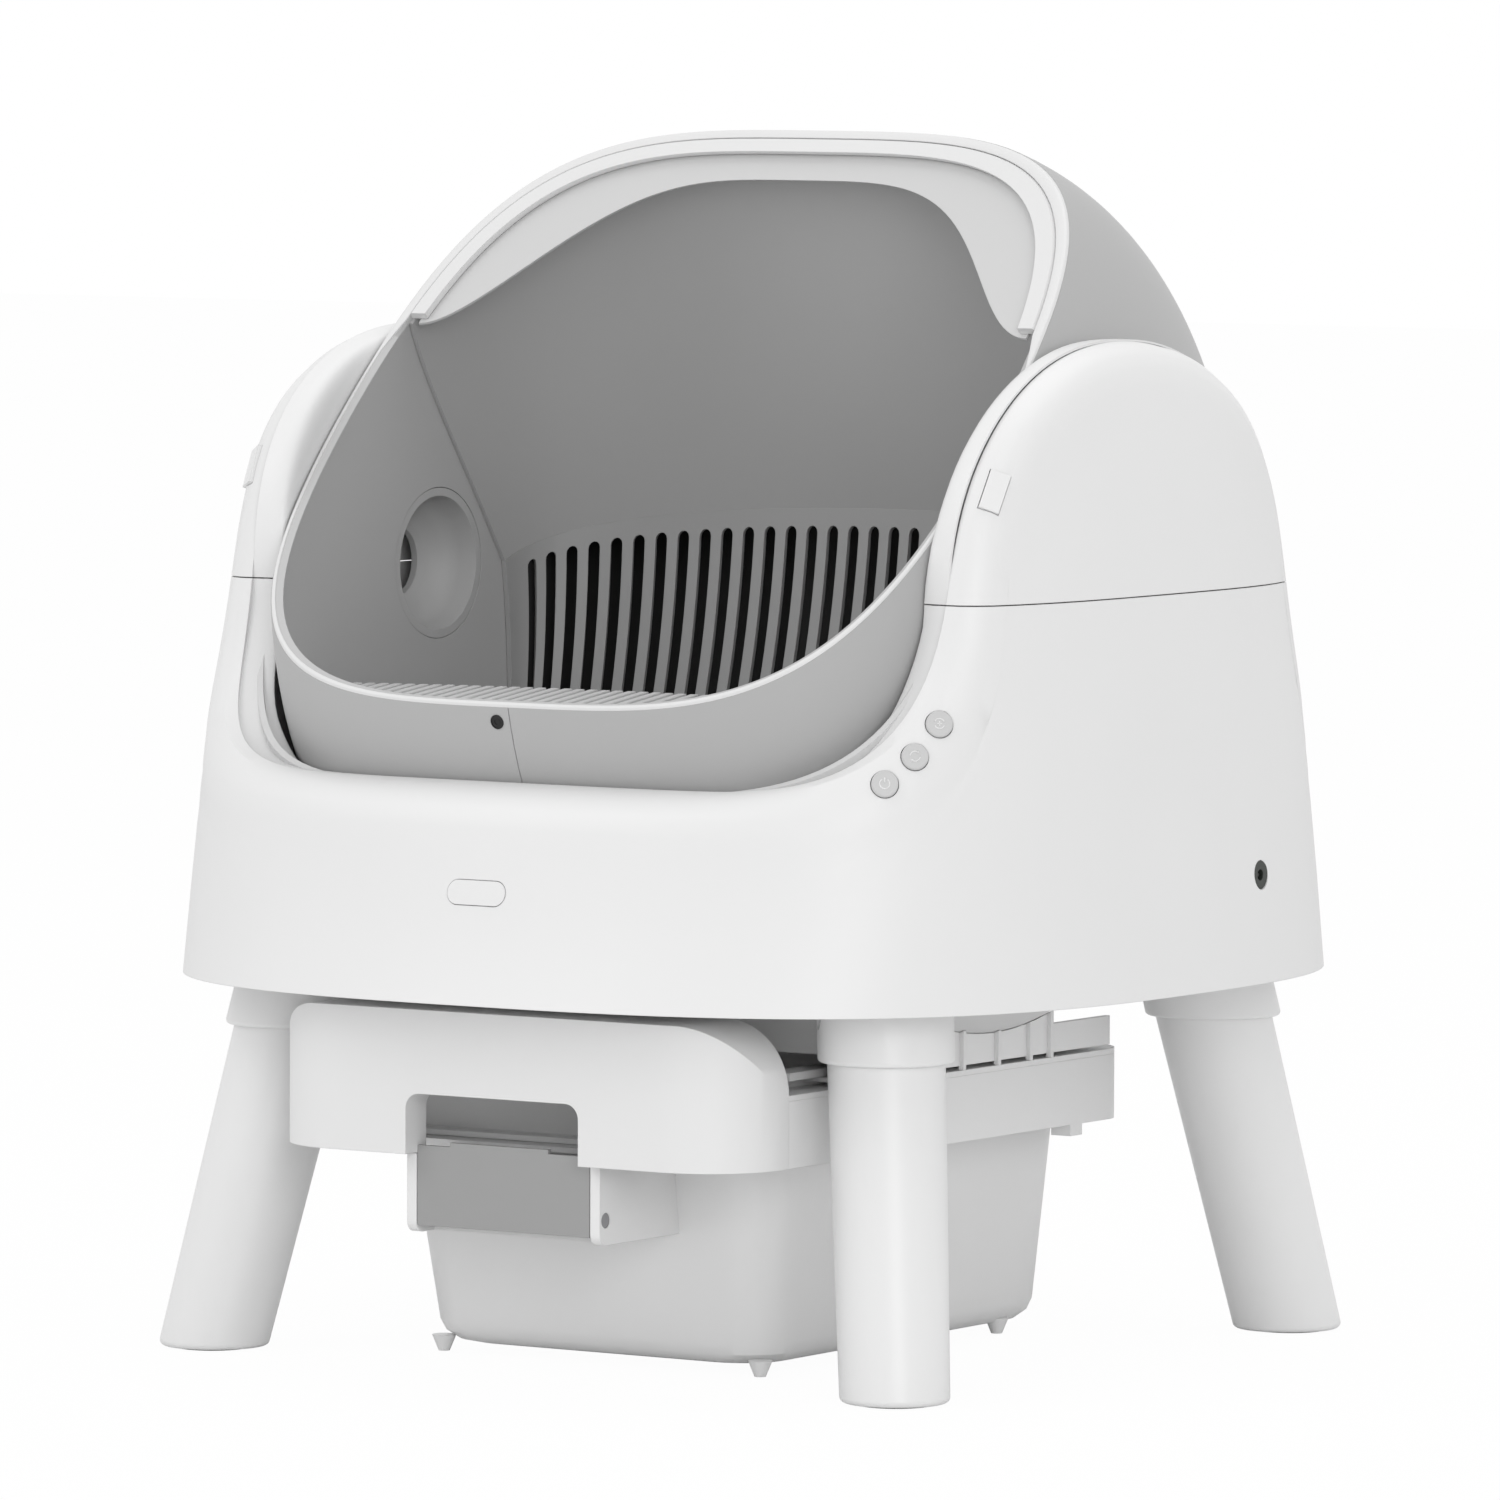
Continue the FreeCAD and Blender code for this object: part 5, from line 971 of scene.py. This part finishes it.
# %% [markdown]
# Between the base's lip and the turning drum a white skin curves inward. It stops one
# millimetre short of the drum, and up to four at the low corners. It is the soft edge that
# the eye reads as one with the housing. It starts on the lip's own line, which has three
# parts: the front scoop, the upright arms, and the arch over each shoulder.

# %% The lip's line
LIP_HALF = 224 * MM
LIP_DEPTH = 232 * MM
LIP_SQUARENESS = 5.45
LIP_FRONT = 312 * MM
SEAM = 408 * MM
ARCH_HALF = 158 * MM
ARCH_TOP = 541 * MM
SCOOP_POWER = 1.5
ARCH_POWER = 2.2
FRONT_SHARE = 0.9
LIP_STEPS = 400
QUARTER_POINTS = 60


def lip_x(y):
    """Half width of the opening at a depth y."""
    return LIP_HALF * (1 - min(abs(y) / LIP_DEPTH, 1.0) ** LIP_SQUARENESS) ** (1 / LIP_SQUARENESS)


def lip_height(y):
    """Height of the scoop's edge over a depth y."""
    share = min(max((LIP_DEPTH - abs(y)) / (LIP_DEPTH - ARCH_HALF), 0.0), 1.0)
    return SEAM - (SEAM - LIP_FRONT) * (1 - share ** SCOOP_POWER) ** (1 / SCOOP_POWER)


def lip_front(share):
    """Depth of the front edge at a share of the half width."""
    return -LIP_DEPTH * (1 - share ** LIP_SQUARENESS) ** (1 / LIP_SQUARENESS)


def lip_quarter():
    """Points from the front middle to the top of the right arch."""
    points = []
    for i in range(LIP_STEPS):
        x = FRONT_SHARE * LIP_HALF * i / LIP_STEPS
        y = lip_front(x / LIP_HALF)
        points.append(Vector((x, y, lip_height(y))))
    start = lip_front(FRONT_SHARE)
    for i in range(LIP_STEPS):
        y = start + (-ARCH_HALF - start) * i / LIP_STEPS
        points.append(Vector((lip_x(y), y, lip_height(y))))
    for i in range(LIP_STEPS + 1):
        angle = math.pi / 2 * i / LIP_STEPS
        y = -ARCH_HALF * math.cos(angle) ** (2 / ARCH_POWER)
        z = SEAM + (ARCH_TOP - SEAM) * math.sin(angle) ** (2 / ARCH_POWER)
        points.append(Vector((lip_x(y), y, z)))
    return points


def evenly(points, count):
    """The same line at equal steps of its length."""
    marks = [0.0]
    for first, second in zip(points, points[1:]):
        marks.append(marks[-1] + (second - first).length)
    spaced, k = [], 0
    for i in range(count + 1):
        mark = marks[-1] * i / count
        while k < len(marks) - 2 and marks[k + 1] < mark:
            k += 1
        share = (mark - marks[k]) / (marks[k + 1] - marks[k])
        spaced.append(points[k].lerp(points[k + 1], share))
    return spaced


quarter = evenly(lip_quarter(), QUARTER_POINTS)
front_half = quarter + [Vector((p.x, -p.y, p.z)) for p in reversed(quarter[:-1])]
LIP_LINE = front_half + [Vector((-p.x, p.y, p.z)) for p in reversed(front_half[:-1])]
print("lip points", len(LIP_LINE))

# %% [markdown]
# From each point of the lip the skin goes inward until it is near the drum. The way is
# found by halving steps, as one would do with a feeler gauge. Then the sheet is cut at
# the seam between the base and the shoulder caps, so that each part has its own skin.

# %% Skin between the lip and the drum
LIP_CLEAR = 1.0 * MM
CORNER_CLEAR = 3.0 * MM
SKIN_ROWS = 10
SKIN_DROP = 3 * MM
SKIN_THICKNESS = 1.2 * MM
BELOW_MOUTH = 9 * MM
CORNER_DEPTH, CORNER_WIDTH = 186 * MM, 20 * MM
FARTHEST = 70 * MM
HALVINGS = 24
# A point of the mouth's edge seen from the side: how far in front of the axis, how high.
EDGE_FRONT, EDGE_HEIGHT = 87.5 * MM, 499 * MM
DROP_SMOOTHINGS = 6
UNDER_SEAM = (0, 0, SEAM - 0.1 * MM)
OVER_SEAM = (0, 0, SEAM + 0.5 * MM)
CENTRE = (0, 0, 0)
# Each part's skin, and the planes that cut it: a point, and the side that goes.
SKIN_CUTS = {
    "base_lip_skin": [(UNDER_SEAM, (0, 0, 1))],
    "left_cap_skin": [(OVER_SEAM, (0, 0, -1)), (CENTRE, (1, 0, 0))],
    "right_cap_skin": [(OVER_SEAM, (0, 0, -1)), (CENTRE, (-1, 0, 0))],
}


def lip_clearance(point):
    """Room left between the skin and the drum: more at the low front corners."""
    if point.z > SEAM:
        return LIP_CLEAR
    from_corner = (abs(point.y) - CORNER_DEPTH) / CORNER_WIDTH
    return LIP_CLEAR + CORNER_CLEAR * math.exp(-from_corner ** 2)


def inward(point):
    """Level direction from a lip point towards the drum."""
    power = LIP_SQUARENESS - 1
    across = (abs(point.x) / LIP_HALF) ** power / LIP_HALF
    depth = (abs(point.y) / LIP_DEPTH) ** power / LIP_DEPTH
    out = Vector((math.copysign(across, point.x), math.copysign(depth, point.y), 0))
    return -out.normalized()


def room_inward(point, way, clear):
    """Distance from a point to the drum, less the clearance, found by halving."""
    near, far = 0.0, FARTHEST
    for _ in range(HALVINGS):
        middle = (near + far) / 2
        spot = point + way * middle
        away = math.hypot(spot.y, spot.z - AXIS_HEIGHT)
        inside = away < DRUM_RADIUS + clear and abs(spot.x) < drum_reach(away, -clear)
        near, far = (near, middle) if inside else (middle, far)
    return near


def skin_drop(point):
    """How far the skin goes down: under the mouth's edge where the arch stands above it."""
    mouth_height = EDGE_HEIGHT + (point.y + EDGE_FRONT) * math.tan(MOUTH_TURN)
    return max(SKIN_DROP, point.z - mouth_height + BELOW_MOUTH)


DROPS = [skin_drop(point) for point in LIP_LINE]
for _ in range(DROP_SMOOTHINGS):
    before = DROPS[-2:-1] + DROPS
    after = DROPS[1:] + DROPS[1:2]
    DROPS = [max(drop, (a + b) / 2) for a, drop, b in zip(before, DROPS, after)]


def skin_corner(across, along):
    """Corner of the skin: level at the lip, then down along the drum."""
    index = round(across * (len(LIP_LINE) - 1))
    point = LIP_LINE[index]
    way = inward(point)
    low = point - Vector((0, 0, DROPS[index] * along ** 3))
    room = room_inward(low, way, lip_clearance(point))
    return low + way * room * (1 - (1 - along) ** 2)


def seam_part(name, cuts):
    """Skin of one moulded part: the whole sheet, cut back by planes to what that part has."""
    part = laid_grid(name, len(LIP_LINE) - 1, SKIN_ROWS, skin_corner, joined=True)
    for place, normal in cuts:
        bpy.ops.object.mode_set(mode="EDIT")
        bpy.ops.mesh.select_all(action="SELECT")
        bpy.ops.mesh.bisect(plane_co=place, plane_no=normal, clear_outer=True)
        bpy.ops.object.mode_set(mode="OBJECT")
    apply_modifier(part, "SOLIDIFY", thickness=SKIN_THICKNESS, offset=-1)
    finish_piece(part, "base", "housing_white", housing_white)


for skin_name, skin_cuts in SKIN_CUTS.items():
    seam_part(skin_name, skin_cuts)
print("deepest skin", round(max(DROPS), 4))

# %% [markdown]
# One screw closes the seam of the two drum halves. Its head shows as a small dark cup,
# and stands out of the skin by less than half a millimetre; its near-black colour is painted
# shade, standing for the dark hollow that the screw sits in. The head is a short cylinder:
# its top is inset and pushed in, raised a little in the middle, and pushed in once more.

# %% Seam screw
SCREW_HEIGHT = 343.6 * MM
SCREW_X = -8 * MM
SCREW_RADIUS = 3.9 * MM
SCREW_DEPTH = 1.2 * MM
SCREW_PROUD = 0.4 * MM
SCREW_SIDES = 36
# Steps on the top of the head: (inset, how far it is pushed in).
SCREW_STEPS = ((0.5 * MM, 0.25 * MM), (1.3 * MM, -0.1 * MM), (0.5 * MM, 0.25 * MM))
screw_y = -math.sqrt(DRUM_RADIUS ** 2 - (SCREW_HEIGHT - AXIS_HEIGHT) ** 2)
screw_spot = Vector((SCREW_X, screw_y, SCREW_HEIGHT))
screw_out = Vector((0, screw_y, SCREW_HEIGHT - AXIS_HEIGHT)).normalized()


def pushed_in(piece, normal, steps):
    """Inset and push in the end face that looks along a normal, a few times."""
    def is_end(face):
        """Whether a face is the round end, and no four-sided wall."""
        return face.normal.dot(normal) > 0.99 and len(face.vertices) > 4

    choose_faces(piece, is_end)
    for inset, depth in steps:
        bpy.ops.mesh.inset(thickness=inset, depth=0)
        bpy.ops.mesh.extrude_region_move(TRANSFORM_OT_translate={"value": tuple(normal * -depth)})
    leave_edit_mode()


select_only()
bpy.ops.mesh.primitive_cylinder_add(vertices=SCREW_SIDES, radius=SCREW_RADIUS,
                                    depth=SCREW_DEPTH)
screw = bpy.context.object
screw.name = "seam_screw_head"
tilt = Vector((0, 0, 1)).rotation_difference(screw_out).to_matrix().to_4x4()
head_middle = screw_spot + screw_out * (SCREW_PROUD - SCREW_DEPTH / 2)
screw.data.transform(Matrix.Translation(head_middle) @ tilt)
pushed_in(screw, screw_out, SCREW_STEPS)
finish_piece(screw, "drum", "steel", screw_painted_shade, "seam_screw")

# %% [markdown]
# The three buttons carry small raised marks: a power mark, two turning arrows and a cross
# in a ring. Each is drawn flat round the origin from a ring, bars and cones, and is then
# carried to its button by a matrix. The press direction of the joint gives that matrix.

# %% Marks on the buttons
MARK_RADIUS = 2.6 * MM
MARK_WIRE = 0.36 * MM
MARK_SINK = 0.1 * MM
BAR_LONG, BAR_THIN = 2.6 * MM, 0.7 * MM
BAR_EDGE = 0.12 * MM
POWER_BAR_RISE = 1.9 * MM
ARROW_RADIUS, ARROW_LENGTH = 0.95 * MM, 1.6 * MM
CROWN_DEPTH = 0.3 * MM


def ring_mark(gaps):
    """Thin ring with gaps, each given by its middle and half width in degrees."""
    select_only()
    bpy.ops.mesh.primitive_torus_add(major_radius=MARK_RADIUS, minor_radius=MARK_WIRE,
                                     major_segments=48, minor_segments=8)
    ring = bpy.context.object

    def in_gap(face):
        """Whether a face of the ring lies in one of the gaps."""
        angle = math.degrees(math.atan2(face.center.y, face.center.x))
        return any(abs((angle - middle + 180) % 360 - 180) < half for middle, half in gaps)

    choose_faces(ring, in_gap)
    bpy.ops.mesh.delete(type="FACE")
    bpy.ops.mesh.select_mode(type="EDGE")
    bpy.ops.mesh.select_non_manifold()
    bpy.ops.mesh.fill_holes(sides=0)
    leave_edit_mode()
    return ring


def bar_mark(rise, width, height):
    """Low bar with eased edges, a rise above the origin."""
    select_only()
    bpy.ops.mesh.primitive_cube_add(size=1, location=(0, rise, 0))
    bar = bpy.context.object
    bar.scale = (width, height, 2 * MARK_WIRE)
    bpy.ops.object.transform_apply(location=True, rotation=True, scale=True)
    apply_modifier(bar, "BEVEL", width=BAR_EDGE, segments=2)
    return bar


def arrow_mark(degrees):
    """Arrow head on the ring at an angle, pointing along it clockwise."""
    angle = math.radians(degrees)
    place = (MARK_RADIUS * math.cos(angle), MARK_RADIUS * math.sin(angle), 0)
    select_only()
    bpy.ops.mesh.primitive_cone_add(vertices=12, radius1=ARROW_RADIUS, depth=ARROW_LENGTH,
                                    location=place)
    head = bpy.context.object
    head.rotation_euler = (math.radians(-90), 0, angle + math.radians(180))
    bpy.ops.object.transform_apply(location=True, rotation=True, scale=True)
    return head


def on_button(name, parts):
    """Join the parts of a mark and lay them on the top of a button."""
    button = NODES[name]
    joint = next(j for j in frame["joints"] if j["name"] == name + "_press")
    outward = -Vector(joint["axis"]).normalized()
    heights = [corner.co.dot(outward) for corner in button.data.vertices]
    top = max(heights)
    crown = [c.co for c, h in zip(button.data.vertices, heights) if h > top - CROWN_DEPTH]
    middle = sum(crown, Vector()) / len(crown)
    middle += outward * (top - middle.dot(outward))
    side = Vector((0, 0, 1)).cross(outward).normalized()
    turn = Matrix((side, outward.cross(side), outward)).transposed().to_4x4()
    select_only(*parts)
    bpy.ops.object.join()
    mark = parts[0]
    mark.name = name + "_mark"
    mark.data.transform(Matrix.Translation(middle - outward * MARK_SINK) @ turn)
    finish_piece(mark, name, "button_grey", mark_grey)


on_button("power_button", [ring_mark([(90, 32)]),
                           bar_mark(POWER_BAR_RISE, BAR_THIN, BAR_LONG)])
on_button("cycle_button", [ring_mark([(20, 24), (200, 24)]),
                           arrow_mark(44), arrow_mark(224)])
on_button("level_button", [ring_mark([(0, 20), (180, 20)]),
                           bar_mark(0, BAR_THIN, BAR_LONG), bar_mark(0, BAR_LONG, BAR_THIN)])
